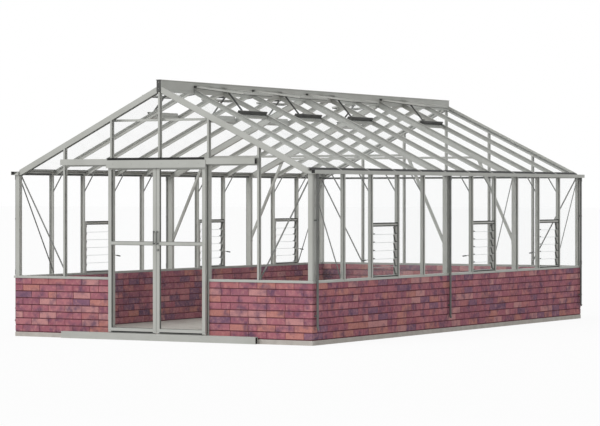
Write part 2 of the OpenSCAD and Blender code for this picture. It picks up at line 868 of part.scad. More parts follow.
// The right door leaf: stiles, three rails, the guide fin and two hangers
module right_door_leaf() {
    fin_foot = 22;
    fin_end = 20;
    hang_in = 90;
    color(alu)
        at_leaf() {
            difference() {
                cube([leaf_w, leaf_t, leaf_h]);
                for (p = [pane_low, pane_high]) {
                    translate([stile_w, -1, p[0]]) cube([leaf_w - 2 * stile_w, leaf_t + 2, p[1] - p[0]]);
                    translate([stile_w - groove, leaf_t / 2 - glass_t / 2 - fit, p[0] - groove])
                        cube([leaf_w - 2 * stile_w + 2 * groove, glass_t + 2 * fit, p[1] - p[0] + 2 * groove]);
                }
            }
            translate([fin_end, leaf_t / 2 - guide_fin / 2, -fin_foot])
                cube([leaf_w - 2 * fin_end, guide_fin, fin_foot + 1]);
            for (x = [hang_in, leaf_w - hang_in]) hanger(x);
        }
}

module right_door_glass() {
    in = groove - pane_gap;
    color(clear)
        at_leaf()
            for (p = [pane_low, pane_high])
                translate([stile_w - in, leaf_t / 2 - glass_t / 2, p[0] - in])
                    cube([leaf_w - 2 * stile_w + 2 * in, glass_t, p[1] - p[0] + 2 * in]);
}

// A bow pull on the meeting stile
module right_door_pull() {
    stand = 22;
    pull_up = 62;
    pull_z = mid_rail_z + pull_up - leaf_foot;
    color(dark)
        at_leaf()
            translate([stile_w / 2, -fit, pull_z]) {
                for (s = [-1, 1])
                    translate([0, 0, s * (pull_h / 2 - pull_d)])
                        rotate([90, 0, 0]) cylinder(d = pull_d, h = stand);
                translate([0, -stand, -pull_h / 2]) cylinder(d = pull_d, h = pull_h);
            }
}

module left_door_leaf() { left_side() right_door_leaf(); }

module left_door_glass() { left_side() right_door_glass(); }

module left_door_pull() { left_side() right_door_pull(); }

floor_slab();
front_wall_left();
front_wall_right();
left_wall();
right_wall();
rear_wall();
wall_sills();
corner_posts();
left_wall_bars();
right_wall_bars();
left_roof_bars();
right_roof_bars();
gable_rafters();
front_gable_bars();
rear_gable_bars();
front_portal_frame();
rear_portal_frame();
eaves_stays();
wind_braces();
ridge_beam();
left_gutter();
right_gutter();
downpipes();
left_wall_glass();
right_wall_glass();
left_roof_glass();
right_roof_glass();
front_gable_glass();
rear_gable_glass();
louvre_frames();
louvre_blades();
louvre_handles();
roof_vents();
vent_glass();
vent_openers();
door_frame();
door_track();
door_guide();
left_door_leaf();
left_door_glass();
left_door_pull();
right_door_leaf();
right_door_glass();
right_door_pull();
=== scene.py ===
"""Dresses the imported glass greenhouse: brickwork, finishes, fittings, studio and camera.

Units are metres in the part's own frame: +Z up, the doors face -Y, the long sides face -X and +X.
"""

import enum
import logging
import math
import random
from dataclasses import dataclass, field
from itertools import product
from typing import Any, Callable, Iterable, Sequence

import bpy
from mathutils import Matrix, Vector


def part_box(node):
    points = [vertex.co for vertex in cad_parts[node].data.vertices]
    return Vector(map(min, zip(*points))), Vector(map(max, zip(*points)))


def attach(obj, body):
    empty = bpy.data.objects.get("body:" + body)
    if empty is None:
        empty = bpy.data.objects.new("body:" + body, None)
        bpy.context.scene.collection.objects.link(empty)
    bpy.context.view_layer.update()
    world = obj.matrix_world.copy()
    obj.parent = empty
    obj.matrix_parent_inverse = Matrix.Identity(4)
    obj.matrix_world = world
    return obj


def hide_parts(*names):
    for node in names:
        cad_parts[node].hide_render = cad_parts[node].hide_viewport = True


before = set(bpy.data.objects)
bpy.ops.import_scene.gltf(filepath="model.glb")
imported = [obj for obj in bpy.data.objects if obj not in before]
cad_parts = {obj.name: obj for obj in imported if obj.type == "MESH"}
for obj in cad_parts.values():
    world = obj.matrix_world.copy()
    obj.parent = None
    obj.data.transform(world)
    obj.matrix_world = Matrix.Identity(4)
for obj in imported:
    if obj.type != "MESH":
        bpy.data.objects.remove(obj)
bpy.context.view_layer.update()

LOG = logging.getLogger("greenhouse")
Point = tuple[float, float, float]
Colour = tuple[float, float, float]
Span = tuple[float, float]
Socket = bpy.types.NodeSocket

# Clearances that keep a fitting off its neighbour, from the finest to the widest
HAIR = 0.0002
SLIT = 0.0003
GAP = 0.0005
# Most values of a noise lie in this span above its low end
NOISE_LOW = 0.3
NOISE_SPAN = 0.4
# The mesh attribute that holds each brick's tone
TONE = "brick_tone"
# The widest chamfer, as a share of half of a box's thinnest side
MOST_CHAMFER = 0.45
# A box's corners by sign, the ring of signs round one of its faces, and its faces by corner number
SIGNS = tuple(product((-1, 1), repeat=3))
RING = ((-1, -1), (1, -1), (1, 1), (-1, 1))
BOX_FACES = ((0, 1, 3, 2), (4, 5, 7, 6), (0, 1, 5, 4), (2, 3, 7, 6), (0, 2, 6, 4), (1, 3, 7, 5))
STILL = Matrix.Identity(4)
UP = Vector((0, 0, 1))
WHITE = (1.0, 1.0, 1.0, 1.0)


class Body(enum.Enum):
    """The rigid bodies that pieces ride on."""

    HOUSE = "house"
    LEFT_DOOR = "left_door"
    RIGHT_DOOR = "right_door"


class Side(enum.Enum):
    """The two long sides, with the sign of their X axis."""

    LEFT = -1
    RIGHT = 1


class End(enum.Enum):
    """The two gables, with the sign of their Y axis."""

    FRONT = -1
    REAR = 1


class RunEnd(enum.Enum):
    """An end of a run of bricks: it holds the corner in even or in odd courses, or stands at the doorway."""

    EVEN = 0
    ODD = 1
    DOORWAY = None


def srgb(red: int, green: int, blue: int) -> Colour:
    """Turns a screen colour into the linear values that shaders use.

    Args:
        red: Red from 0 to 255.
        green: Green from 0 to 255.
        blue: Blue from 0 to 255.

    Returns:
        The linear colour.
    """
    shares = (level / 255 for level in (red, green, blue))
    return tuple(share / 12.92 if share <= 0.04045 else ((share + 0.055) / 1.055) ** 2.4 for share in shares)


def palette(*colours: tuple[int, int, int]) -> tuple[Colour, ...]:
    """Turns screen colours into linear ones."""
    return tuple(srgb(*colour) for colour in colours)


def around(middle: float, half: float) -> Span:
    """Gives the span that reaches this far to both sides of a middle."""
    return middle - half, middle + half


def facing(way: int, start: float, end: float) -> Span:
    """Gives a span, or its mirror image across zero where way is -1."""
    return (start, end) if way > 0 else (-end, -start)


def flip(way: int) -> Matrix:
    """Mirrors a piece across the house where way is -1."""
    return Matrix.Scale(way, 4, (1, 0, 0))


def add(name: str, data: bpy.types.ID) -> bpy.types.Object:
    """Adds an object to the scene.

    Args:
        name: The object's name.
        data: Its mesh, lamp or camera.

    Returns:
        The new object.
    """
    thing = bpy.data.objects.new(name, data)
    bpy.context.scene.collection.objects.link(thing)
    return thing


class Graph:
    """The node tree of a material or a world, with short calls to add and join nodes."""

    def __init__(self, owner: bpy.types.Material | bpy.types.World) -> None:
        """Takes the node tree of a new material or world.

        Args:
            owner: The material or world.
        """
        owner.use_nodes = True
        self.tree = owner.node_tree
        self.shader = self.tree.nodes.get("Principled BSDF") or self.tree.nodes["Background"]

    def feed(self, node: bpy.types.Node, inputs: dict[str | int, Any]) -> None:
        """Sets a node's inputs, or joins sockets to them.

        Args:
            node: The node.
            inputs: A value or a socket for each input, by the input's name or number.
        """
        for key, value in inputs.items():
            if isinstance(value, Socket):
                self.tree.links.new(value, node.inputs[key])
            else:
                node.inputs[key].default_value = value

    def node(self, kind: str, inputs: dict[str | int, Any], **settings: Any) -> bpy.types.Node:
        """Adds a node.

        Args:
            kind: The node's type.
            inputs: Values and sockets for its inputs.
            settings: Properties to set on it.

        Returns:
            The new node.
        """
        node = self.tree.nodes.new(kind)
        for key, value in settings.items():
            setattr(node, key, value)
        self.feed(node, inputs)
        return node

    def plain(self, colour: Colour) -> Socket:
        """Adds a plain colour.

        Args:
            colour: The linear colour.

        Returns:
            The colour's socket.
        """
        node = self.node("ShaderNodeRGB", {})
        node.outputs[0].default_value = (*colour, 1.0)
        return node.outputs[0]

    def noise(self, size: float, detail: float = 3.0) -> Socket:
        """Adds a noise pattern.

        Args:
            size: Width of the noise's patches.
            detail: Octaves of finer noise.

        Returns:
            The noise's value socket.
        """
        place = self.node("ShaderNodeTexCoord", {}).outputs["Object"]
        noise = self.node("ShaderNodeTexNoise", {"Vector": place, "Scale": 1 / size, "Detail": detail})
        return noise.outputs["Fac"]

    def ramp(self, value: Socket, stops: Sequence[tuple[float, Colour]], steps: bool = False) -> Socket:
        """Turns a value into a colour.

        Args:
            value: The value's socket.
            stops: Positions from 0 to 1 with their colours.
            steps: True for hard steps between the colours.

        Returns:
            The colour's socket.
        """
        ramp = self.node("ShaderNodeValToRGB", {"Fac": value})
        ramp.color_ramp.interpolation = "CONSTANT" if steps else "LINEAR"
        elements = ramp.color_ramp.elements
        while len(elements) < len(stops):
            elements.new(1.0)
        for element, (place, colour) in zip(elements, stops):
            element.position = place
            element.color = (*colour, 1.0)
        return ramp.outputs["Color"]

    def spread(self, value: Socket, low: float, high: float, start: float = NOISE_LOW,
               end: float = NOISE_LOW + NOISE_SPAN) -> Socket:
        """Maps a value to a range.

        Args:
            value: The value's socket.
            low: Result at the start.
            high: Result at the end.
            start: The value that gives the low result.
            end: The value that gives the high result.

        Returns:
            The mapped value's socket.
        """
        inputs = {"Value": value, "From Min": start, "From Max": end, "To Min": low, "To Max": high}
        return self.node("ShaderNodeMapRange", inputs).outputs["Result"]

    def mix(self, share: Socket | float, first: Socket, second: Socket) -> Socket:
        """Mixes two colours.

        Args:
            share: How much of the second colour is used, as a socket or a number.
            first: The first colour's socket.
            second: The second colour's socket.

        Returns:
            The mixed colour's socket.
        """
        node = self.node("ShaderNodeMix", {}, data_type="RGBA")
        self.feed(node, {"Factor": share, "A": first, "B": second})
        return node.outputs["Result"]

    def bump(self, height: Socket, depth: float) -> None:
        """Gives the shader a bump from a height pattern of this depth in metres."""
        node = self.node("ShaderNodeBump", {"Height": height, "Strength": 1.0, "Distance": depth})
        self.feed(self.shader, {"Normal": node.outputs["Normal"]})

    def show(self, output: str, share: Socket, first: Socket, second: Socket) -> None:
        """Sends a mix of two shaders to the tree's output.

        Args:
            output: The output node's name.
            share: How much of the second shader is used.
            first: The first shader's socket.
            second: The second shader's socket.
        """
        mixed = self.node("ShaderNodeMixShader", {"Fac": share, 1: first, 2: second})
        self.feed(self.tree.nodes[output], {"Surface": mixed.outputs["Shader"]})


@dataclass(frozen=True)
class Finish:
    """A finish with a mottled colour, uneven roughness and a fine bump."""

    name: str
    slot: str
    colours: tuple[Colour, ...]
    roughness: Span = (0.4, 0.5)
    metallic: float = 0.0
    patch: float = 0.2
    rough_patch: float = 0.6
    grain: float = 0.004
    grain_detail: float = 2.0
    relief: float = 0.0002
    specular: float = 0.5

    def material(self) -> bpy.types.Material:
        """Makes the finish's material, or finds the one made before.

        Returns:
            The finished material.
        """
        made = bpy.data.materials.get(self.name)
        if made is None:
            made = bpy.data.materials.new(self.name)
            self.fill(Graph(made))
        return made

    def fill(self, graph: Graph) -> None:
        """Fills the material's node tree.

        Args:
            graph: The new material's tree.
        """
        last = len(self.colours) - 1
        stops = [(NOISE_LOW + NOISE_SPAN * i / last, colour) for i, colour in enumerate(self.colours)]
        graph.feed(graph.shader, {
            "Base Color": graph.ramp(graph.noise(self.patch), stops),
            "Roughness": graph.spread(graph.noise(self.patch * self.rough_patch), *self.roughness),
            "Metallic": self.metallic,
            "Specular IOR Level": self.specular,
        })
        graph.bump(graph.noise(self.grain, self.grain_detail), self.relief)


@dataclass(frozen=True)
class BrickFinish(Finish):
    """Mixed facing bricks: each has a colour of its own, with drifts, burnt and pale patches and specks."""

    burnt: Colour = (0.05, 0.03, 0.05)
    bloom: Colour = (0.5, 0.3, 0.3)
    drift: float = 0.4
    drift_patch: float = 2.5
    # Places on the drift's noise, with the number of the colour there
    drift_stops: tuple[tuple[float, int], ...] = ((0.35, 2), (0.5, 0), (0.62, 4))
    bloom_patch: float = 0.3
    speck_patch: float = 1.6
    # Noise details of burnt patches, bloom and specks
    details: Point = (6.0, 8.0, 3.0)
    # Shares of each tint at the noise's low and high values
    burnt_share: Span = (-0.6, 0.78)
    bloom_share: Span = (-0.3, 0.36)
    speck_share: Span = (-0.9, 0.55)

    def fill(self, graph: Graph) -> None:
        """Fills the material's node tree.

        Args:
            graph: The new material's tree.
        """
        tone = graph.node("ShaderNodeAttribute", {}, attribute_name=TONE).outputs["Fac"]
        steps = [(i / len(self.colours), colour) for i, colour in enumerate(self.colours)]
        drifts = [(place, self.colours[i]) for place, i in self.drift_stops]
        drift = graph.ramp(graph.noise(self.patch * self.drift_patch), drifts)
        colour = graph.mix(self.drift, graph.ramp(tone, steps, steps=True), drift)
        burnt, bloom = graph.plain(self.burnt), graph.plain(self.bloom)
        layers = ((burnt, self.patch, self.burnt_share),
                  (bloom, self.patch * self.bloom_patch, self.bloom_share),
                  (burnt, self.grain * self.speck_patch, self.speck_share))
        for (tint, size, share), detail in zip(layers, self.details):
            colour = graph.mix(graph.spread(graph.noise(size, detail), *share), colour, tint)
        graph.feed(graph.shader, {
            "Base Color": colour,
            "Roughness": graph.spread(graph.noise(self.patch), *self.roughness),
            "Specular IOR Level": self.specular,
        })
        graph.bump(graph.noise(self.grain, self.grain_detail), self.relief)


@dataclass(frozen=True)
class GlassFinish(Finish):
    """Clear glass that lets light straight through and shines more at a flat angle."""

    clear: float = 0.004
    edge: float = 0.10
    blend: float = 0.12
    start: float = 0.02

    def fill(self, graph: Graph) -> None:
        """Fills the material's node tree.

        Args:
            graph: The new material's tree.
        """
        weight = graph.node("ShaderNodeLayerWeight", {"Blend": self.blend}).outputs["Fresnel"]
        graph.feed(graph.shader, {
            "Base Color": (*self.colours[0], 1.0),
            "Roughness": self.roughness[0],
            "Specular IOR Level": self.specular,
            "Alpha": graph.spread(weight, self.clear, self.edge, self.start, 1.0),
        })


def seal_and_shade_finish(name: str, *colours: tuple[int, int, int]) -> Finish:
    """Makes the finish of a sealing strip in these screen colours; such finishes also colour strips of
    painted shade.
    """
    return Finish(name, "dark_plastic", palette(*colours), (0.6, 0.75), patch=0.05, grain=0.001,
                  relief=0.0001, specular=0.3)


ALUMINIUM = Finish("satin_aluminium", "mill_aluminium", palette((173, 174, 168), (183, 184, 179)),
                   (0.42, 0.55), metallic=0.1, patch=0.35, grain=0.0015, relief=0.00004, specular=0.35)
# Dark plastic; also colours dark strips of painted shade inside the eaves beams and on the rear rail
DARK_PLASTIC_AND_SHADE = Finish("matt_plastic_and_painted_shade", "dark_plastic", palette((62, 63, 61), (74, 75, 72)), (0.45, 0.6),
                      patch=0.08, grain=0.0012, relief=0.00008)
PIPE = Finish("grey_pipe", "dark_plastic", palette((92, 93, 91), (106, 107, 104)), (0.4, 0.55),
              patch=0.08, grain=0.0012, relief=0.00008)
# Black rubber and grey seal; also colour strips of painted shade at the eaves, the leaves' feet, the rafters
# and the rear corners
RUBBER_AND_SHADE = seal_and_shade_finish("black_rubber_and_painted_shade", (28, 28, 28), (38, 38, 37))
SEAL_AND_SHADE = seal_and_shade_finish("grey_seal_and_painted_shade", (108, 109, 105), (122, 123, 119))
PALE_SEAL = seal_and_shade_finish("pale_seal", (148, 149, 145), (160, 161, 157))
CONCRETE = Finish("floated_concrete", "concrete", palette((178, 173, 166), (187, 182, 175), (193, 189, 182)),
                  (0.75, 0.9), patch=0.09, grain=0.006, relief=0.0006, specular=0.25)
MORTAR = Finish("dark_mortar", "brick", palette((92, 52, 60), (112, 70, 76)), (0.85, 0.95),
                patch=0.05, grain=0.003, relief=0.0008, specular=0.15)
BRICK = BrickFinish("facing_brick", "brick",
                    palette((164, 100, 112), (186, 124, 128), (150, 92, 104), (196, 136, 118),
                            (174, 112, 122), (158, 96, 108), (206, 156, 150), (142, 90, 106),
                            (180, 116, 112), (106, 90, 116)),
                    (0.7, 0.9), patch=0.11, grain=0.005, grain_detail=6.0, relief=0.0012, specular=0.2,
                    burnt=srgb(94, 74, 98), bloom=srgb(208, 152, 146))
STEEL = Finish("zinc_steel", "mill_aluminium", palette((140, 140, 136), (160, 160, 156)), (0.35, 0.45),
               metallic=0.3, patch=0.02, grain=0.001, relief=0.00003)
# Zinc of the eaves stays and wind braces, darkened as painted shade on their sides
ZINC_AND_SHADE = Finish("zinc_with_painted_shade", "mill_aluminium", palette((112, 113, 110), (128, 129, 126)), (0.5, 0.6),
                   metallic=0.1, patch=0.05, grain=0.001, relief=0.00004, specular=0.35)
GLASS_EDGE = Finish("ground_glass_edge", "clear_glass", palette((178, 190, 186), (192, 202, 198)), (0.3, 0.4),
                    patch=0.05, grain=0.002, relief=0.00003)
GLASS = GlassFinish("horticultural_glass", "clear_glass", palette((232, 242, 240)), (0.03, 0.03))


def corner(axis: int, way: int, others: tuple[int, int]) -> tuple[int, ...]:
    """Gives a box corner's signs from its sign along an axis and its signs along the other two."""
    return (*others[:axis], way, *others[axis:])


def chamfered(centre: Vector, half: Vector, chamfer: float) -> tuple[list[Vector], list[tuple[int, ...]]]:
    """Works out a box with flat chamfers along all its edges.

    Args:
        centre: The box's middle.
        half: Half of the box's size.
        chamfer: Width of the chamfer.

    Returns:
        The points, three to each corner of the box, and the faces.
    """
    points: list[Vector] = []
    number: dict[tuple[tuple[int, ...], int], int] = {}
    for sign, axis in product(SIGNS, range(3)):
        reach = [half[k] if k == axis else half[k] - chamfer for k in range(3)]
        number[sign, axis] = len(points)
        points.append(centre + Vector([s * r for s, r in zip(sign, reach)]))
    faces = [tuple(number[sign, axis] for axis in range(3)) for sign in SIGNS]
    for axis in range(3):
        first, second = (k for k in range(3) if k != axis)
        for way in (-1, 1):
            faces.append(tuple(number[corner(axis, way, others), axis] for others in RING))
        for others in RING:
            low, high = corner(axis, -1, others), corner(axis, 1, others)
            faces.append((number[low, first], number[high, first], number[high, second], number[low, second]))
    return points, faces


class Draft:
    """Collects the vertices and faces of one piece before it becomes an object."""

    def __init__(self, name: str) -> None:
        """Starts an empty piece.

        Args:
            name: The piece's name.
        """
        self.name = name
        self.points: list[Vector] = []
        self.faces: list[tuple[int, ...]] = []
        self.marks: list[int] = []
        self.tones: list[float] = []

    def solid(self, points: Sequence[Vector], faces: Iterable[Sequence[int]], mark: int = 0,
              tone: float = 0.0) -> None:
        """Adds a convex closed shape, with its faces turned outward.

        Args:
            points: The shape's corners.
            faces: Corner numbers of each face.
            mark: Number of the finish among the piece's finishes.
            tone: Tone of a brick, from 0 to 1.
        """
        middle = sum(points, Vector()) / len(points)
        start = len(self.points)
        for face in faces:
            ring = [points[i] for i in face]
            centre = sum(ring, Vector()) / len(ring)
            normal = (ring[1] - ring[0]).cross(ring[2] - ring[0])
            order = face if normal.dot(centre - middle) > 0 else reversed(face)
            self.faces.append(tuple(start + i for i in order))
            self.marks.append(mark)
        self.points.extend(points)
        self.tones.extend([tone] * len(points))

    def box(self, x: Span, y: Span, z: Span, place: Matrix = STILL, mark: int = 0, chamfer: float = 0.0,
            tone: float = 0.0) -> None:
        """Adds a box with sharp or chamfered edges.

        Args:
            x: The box's start and end along X.
            y: The box's start and end along Y.
            z: The box's start and end along Z.
            place: Turns and moves the box from its own axes.
            mark: Number of the finish among the piece's finishes.
            chamfer: Width of the chamfer, or 0 for sharp edges.
            tone: Tone of a brick, from 0 to 1.
        """
        low, high = (Vector(ends) for ends in zip(x, y, z))
        centre, half = (low + high) / 2, (high - low) / 2
        if chamfer > 0:
            points, faces = chamfered(centre, half, min(chamfer, min(half) * MOST_CHAMFER))
        else:
            points = [centre + Vector([s * h for s, h in zip(sign, half)]) for sign in SIGNS]
            faces = BOX_FACES
        self.solid([place @ point for point in points], faces, mark, tone)

    def drum(self, base: Vector, way: Vector, radius: float, length: float, mark: int = 0,
             sides: int = 16) -> None:
        """Adds a round or many-sided bar.

        Args:
            base: Middle of the bar's first end.
            way: Direction along the bar.
            radius: Radius to the bar's corners.
            length: The bar's length.
            mark: Number of the finish among the piece's finishes.
            sides: Number of its sides.
        """
        place = Matrix.Translation(base) @ way.to_track_quat("Z", "Y").to_matrix().to_4x4()
        turns = [2 * math.pi * i / sides for i in range(sides)]
        points = [place @ Vector((radius * math.cos(turn), radius * math.sin(turn), z))
                  for z in (0.0, length) for turn in turns]
        faces = [tuple(range(sides)), tuple(range(sides, 2 * sides))]
        faces += [(i, (i + 1) % sides, sides + (i + 1) % sides, sides + i) for i in range(sides)]
        self.solid(points, faces, mark)

    def bolt(self, base: Vector, way: Vector, radius: float, mark: int = 0) -> None:
        """Adds a bolt's head on its washer.

        Args:
            base: Point of the face that the washer lies on.
            way: Direction away from the face.
            radius: Radius to the head's corners.
            mark: Number of the finish among the piece's finishes.
        """
        way = way.normalized()
        washer_r, washer_t, head_h, head_sides = radius * 1.5, radius * 0.25, radius * 0.75, 6
        self.drum(base, way, washer_r, washer_t, mark)
        self.drum(base + way * washer_t, way, radius, head_h, mark, head_sides)

    def strip(self, across: Span, out: Span, height: Callable[[float], Span], place: Matrix,
              mark: int = 0) -> None:
        """Adds a strip whose foot and top may slope.

        Args:
            across: The strip's start and end along X.
            out: The strip's start and end along Y.
            height: Gives the heights of its foot and top over a point of X.
            place: Turns and moves the strip from its own axes.
            mark: Number of the finish among the piece's finishes.
        """
        points = [place @ Vector((x, y, z)) for x in across for y in out for z in height(x)]
        self.solid(points, BOX_FACES, mark)

    def build(self, *finishes: Finish, body: Body = Body.HOUSE, replaces: Sequence[str] = ()) -> None:
        """Turns the draft into an object that rides on a body.

        Args:
            finishes: The piece's finishes, in the order of the marks.
            body: The body that the piece rides on.
            replaces: CAD nodes that the piece stands for.
        """
        mesh = bpy.data.meshes.new(self.name)
        mesh.from_pydata(self.points, [], self.faces)
        mesh.polygons.foreach_set("material_index", self.marks)
        if any(self.tones):
            mesh.attributes.new(TONE, "FLOAT", "POINT").data.foreach_set("value", self.tones)
        for finish in finishes:
            mesh.materials.append(finish.material())
        mesh.update()
        piece = add(self.name, mesh)
        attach(piece, body.value)
        if replaces:
            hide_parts(*replaces)
        LOG.info("%s: %d faces", self.name, len(self.faces))


@dataclass
class Plan:
    """The house's main lines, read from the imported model, and the sizes of its bars."""

    bays_across: int = 6
    bays_along: int = 11
    portals: tuple[int, ...] = (5, 8)
    louvres: tuple[int, ...] = (2, 6, 9)
    vents: tuple[int, ...] = (1, 3, 5, 8)
    pitch: float = math.radians(26)
    ridge_up: float = 0.065
    ridge_half: float = 0.027
    seat: float = 0.018
    side_seat: float = 0.004
    bar_d: float = 0.036
    bar_w: float = 0.025
    fin: float = 0.014
    fin_w: float = 0.010
    verge_d: float = 0.060
    verge_w: float = 0.050
    portal_d: float = 0.058
    post_d: float = 0.054
    glass: float = 0.0043
    half_w: float = field(init=False)
    half_l: float = field(init=False)
    slab_top: float = field(init=False)
    wall_top: float = field(init=False)
    wall_t: float = field(init=False)
    sill_top: float = field(init=False)
    eaves: float = field(init=False)
    apex: float = field(init=False)
    bay: float = field(init=False)
    gutter_out: float = field(init=False)
    gutter_end: float = field(init=False)

    def __post_init__(self) -> None:
        """Reads the sizes from the frame's boxes."""
        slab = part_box("floor_slab")[1]
        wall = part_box("right_wall")
        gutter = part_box("right_gutter")[1]
        self.half_w, self.half_l, self.slab_top = (float(value) for value in slab)
        self.wall_top = float(wall[1][2])
        self.wall_t = float(wall[1][0] - wall[0][0])
        self.sill_top = float(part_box("wall_sills")[1][2])
        self.eaves = float(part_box("corner_posts")[1][2])
        self.apex = float(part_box("ridge_beam")[1][2]) - self.ridge_up
        self.bay = float(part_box("door_track")[1][0]) / 2
        self.gutter_out, self.gutter_end = float(gutter[0]), float(gutter[1])

    @property
    def rise(self) -> float:
        """The roof's rise for each metre across."""
        return math.tan(self.pitch)

    @property
    def lean(self) -> float:
        """The cosine of the roof's pitch."""
        return math.cos(self.pitch)

    def bar_x(self, index: int) -> float:
        """Gives the line of a gable bar, counted from the left corner."""
        return (index - self.bays_across / 2) * self.bay

    def bar_y(self, index: int) -> float:
        """Gives the line of a side bar, counted from the front corner."""
        return (index - self.bays_along / 2) * self.bay

    def roof_z(self, x: float, above: float) -> float:
        """Gives the height of a line that lies above the roof surface, over the point x."""
        return self.apex - abs(x) * self.rise + above / self.lean

    def wall(self, side: Side) -> Matrix:
        """Places a piece on a side wall: x outward from the brick face, y along the house, z up."""
        way = side.value
        return Matrix(((way, 0, 0, way * self.half_w), (0, 1, 0, 0), (0, 0, 1, 0), (0, 0, 0, 1)))

    def gable(self, end: End) -> Matrix:
        """Places a piece on a gable: x across the house, y outward from the gable's face, z up."""
        way = end.value
        return Matrix(((1, 0, 0, 0), (0, way, 0, way * self.half_l), (0, 0, 1, 0), (0, 0, 0, 1)))

    def slope(self, side: Side) -> Matrix:
        """Places a piece on a slope: x down from the apex, y along the house, z out of the roof."""
        way, c, s = side.value, math.cos(self.pitch), math.sin(self.pitch)
        return Matrix(((way * c, 0, way * s, 0), (0, 1, 0, 0), (-s, 0, c, self.apex), (0, 0, 0, 1)))


@dataclass
class Brickwork:
    """The low wall: courses of half-brick wall with bats here and there, over a mortar core."""

    plan: Plan
    length: float = 0.221
    joint: float = 0.010
    perpend: float = 0.004
    height: float = 0.065
    arris: float = 0.003
    recess: float = 0.005
    door_recess: float = 0.002
    wander: float = 0.0012
    bat_share: float = 0.14
    least_bat: float = 0.8
    least_tone: float = 0.001
    seed: int = 41

    def build(self) -> None:
        """Builds the five runs of the wall."""
        along, across = self.plan.half_l, self.plan.half_w
        beside_door = across - float(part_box("front_wall_right")[0][0])
        even, odd, front = (RunEnd.EVEN,) * 2, (RunEnd.ODD,) * 2, (RunEnd.ODD, RunEnd.DOORWAY)
        draw = random.Random(self.seed)
        self.run("left_wall", (-across, -along), (0, 1), (1, 0), 2 * along, even, draw)
        self.run("right_wall", (across, -along), (0, 1), (-1, 0), 2 * along, even, draw)
        self.run("rear_wall", (-across, along), (1, 0), (0, -1), 2 * across, odd, draw)
        self.run("front_wall_left", (-across, -along), (1, 0), (0, 1), beside_door, front, draw)
        self.run("front_wall_right", (across, -along), (-1, 0), (0, 1), beside_door, front, draw)

    def run(self, node: str, start: Span, way: tuple[int, int], inward: tuple[int, int], length: float,
            ends: tuple[RunEnd, RunEnd], draw: random.Random) -> None:
        """Builds one run of the wall.

        Args:
            node: The CAD node that the run stands for.
            start: Plan point of the run's outer corner.
            way: Plan direction along the run.
            inward: Plan direction from the outer face into the house.
            length: The run's length over its outer face.
            ends: How the run's start and end meet their neighbours.
            draw: The source of chance.
        """
        plan = self.plan
        draft = Draft(f"{node}_bricks")
        place = Matrix(((way[0], inward[0], 0, start[0]), (way[1], inward[1], 0, start[1]), (0, 0, 1, 0),
                        (0, 0, 0, 1)))
        insets = {RunEnd.EVEN: self.recess, RunEnd.ODD: plan.wall_t - self.recess,
                  RunEnd.DOORWAY: self.door_recess}
        draft.box((insets[ends[0]], length - insets[ends[1]]), (self.recess, plan.wall_t - self.recess),
                  (plan.slab_top, plan.wall_top), place, 1)
        rise = self.height + self.joint
        for row in range(round((plan.wall_top - plan.slab_top) / rise)):
            shy = [0.0 if end.value in (None, row % 2) else plan.wall_t + self.perpend for end in ends]
            low = plan.slab_top + row * rise + self.joint
            for brick in self.course(shy[0], length - shy[1], draw):
                sunk = -draw.uniform(-self.wander, 0.0)
                lift = draw.uniform(0.0, self.wander) / 2
                tone = self.least_tone + (1 - 2 * self.least_tone) * draw.random()
                draft.box(brick, (sunk, plan.wall_t - sunk), (low + lift, low + self.height), place, 0,
                          self.arris, tone)
        draft.build(BRICK, MORTAR, replaces=(node,))

    def course(self, start: float, end: float, draw: random.Random) -> list[Span]:
        """Lays one course of bricks, the first of them whole.

        Args:
            start: Where the course starts along the run.
            end: Where the course ends.
            draw: The source of chance.

        Returns:
            The start and end of each brick.
        """
        bat = (self.length - self.perpend) / 2
        bricks: list[Span] = []
        place = start
        while place < end - self.joint:
            stop = place + (bat if bricks and draw.random() < self.bat_share else self.length)
            if end - stop < bat * self.least_bat:
                stop = end
            bricks.append((place, min(stop, end)))
            place = stop + self.perpend
        return bricks


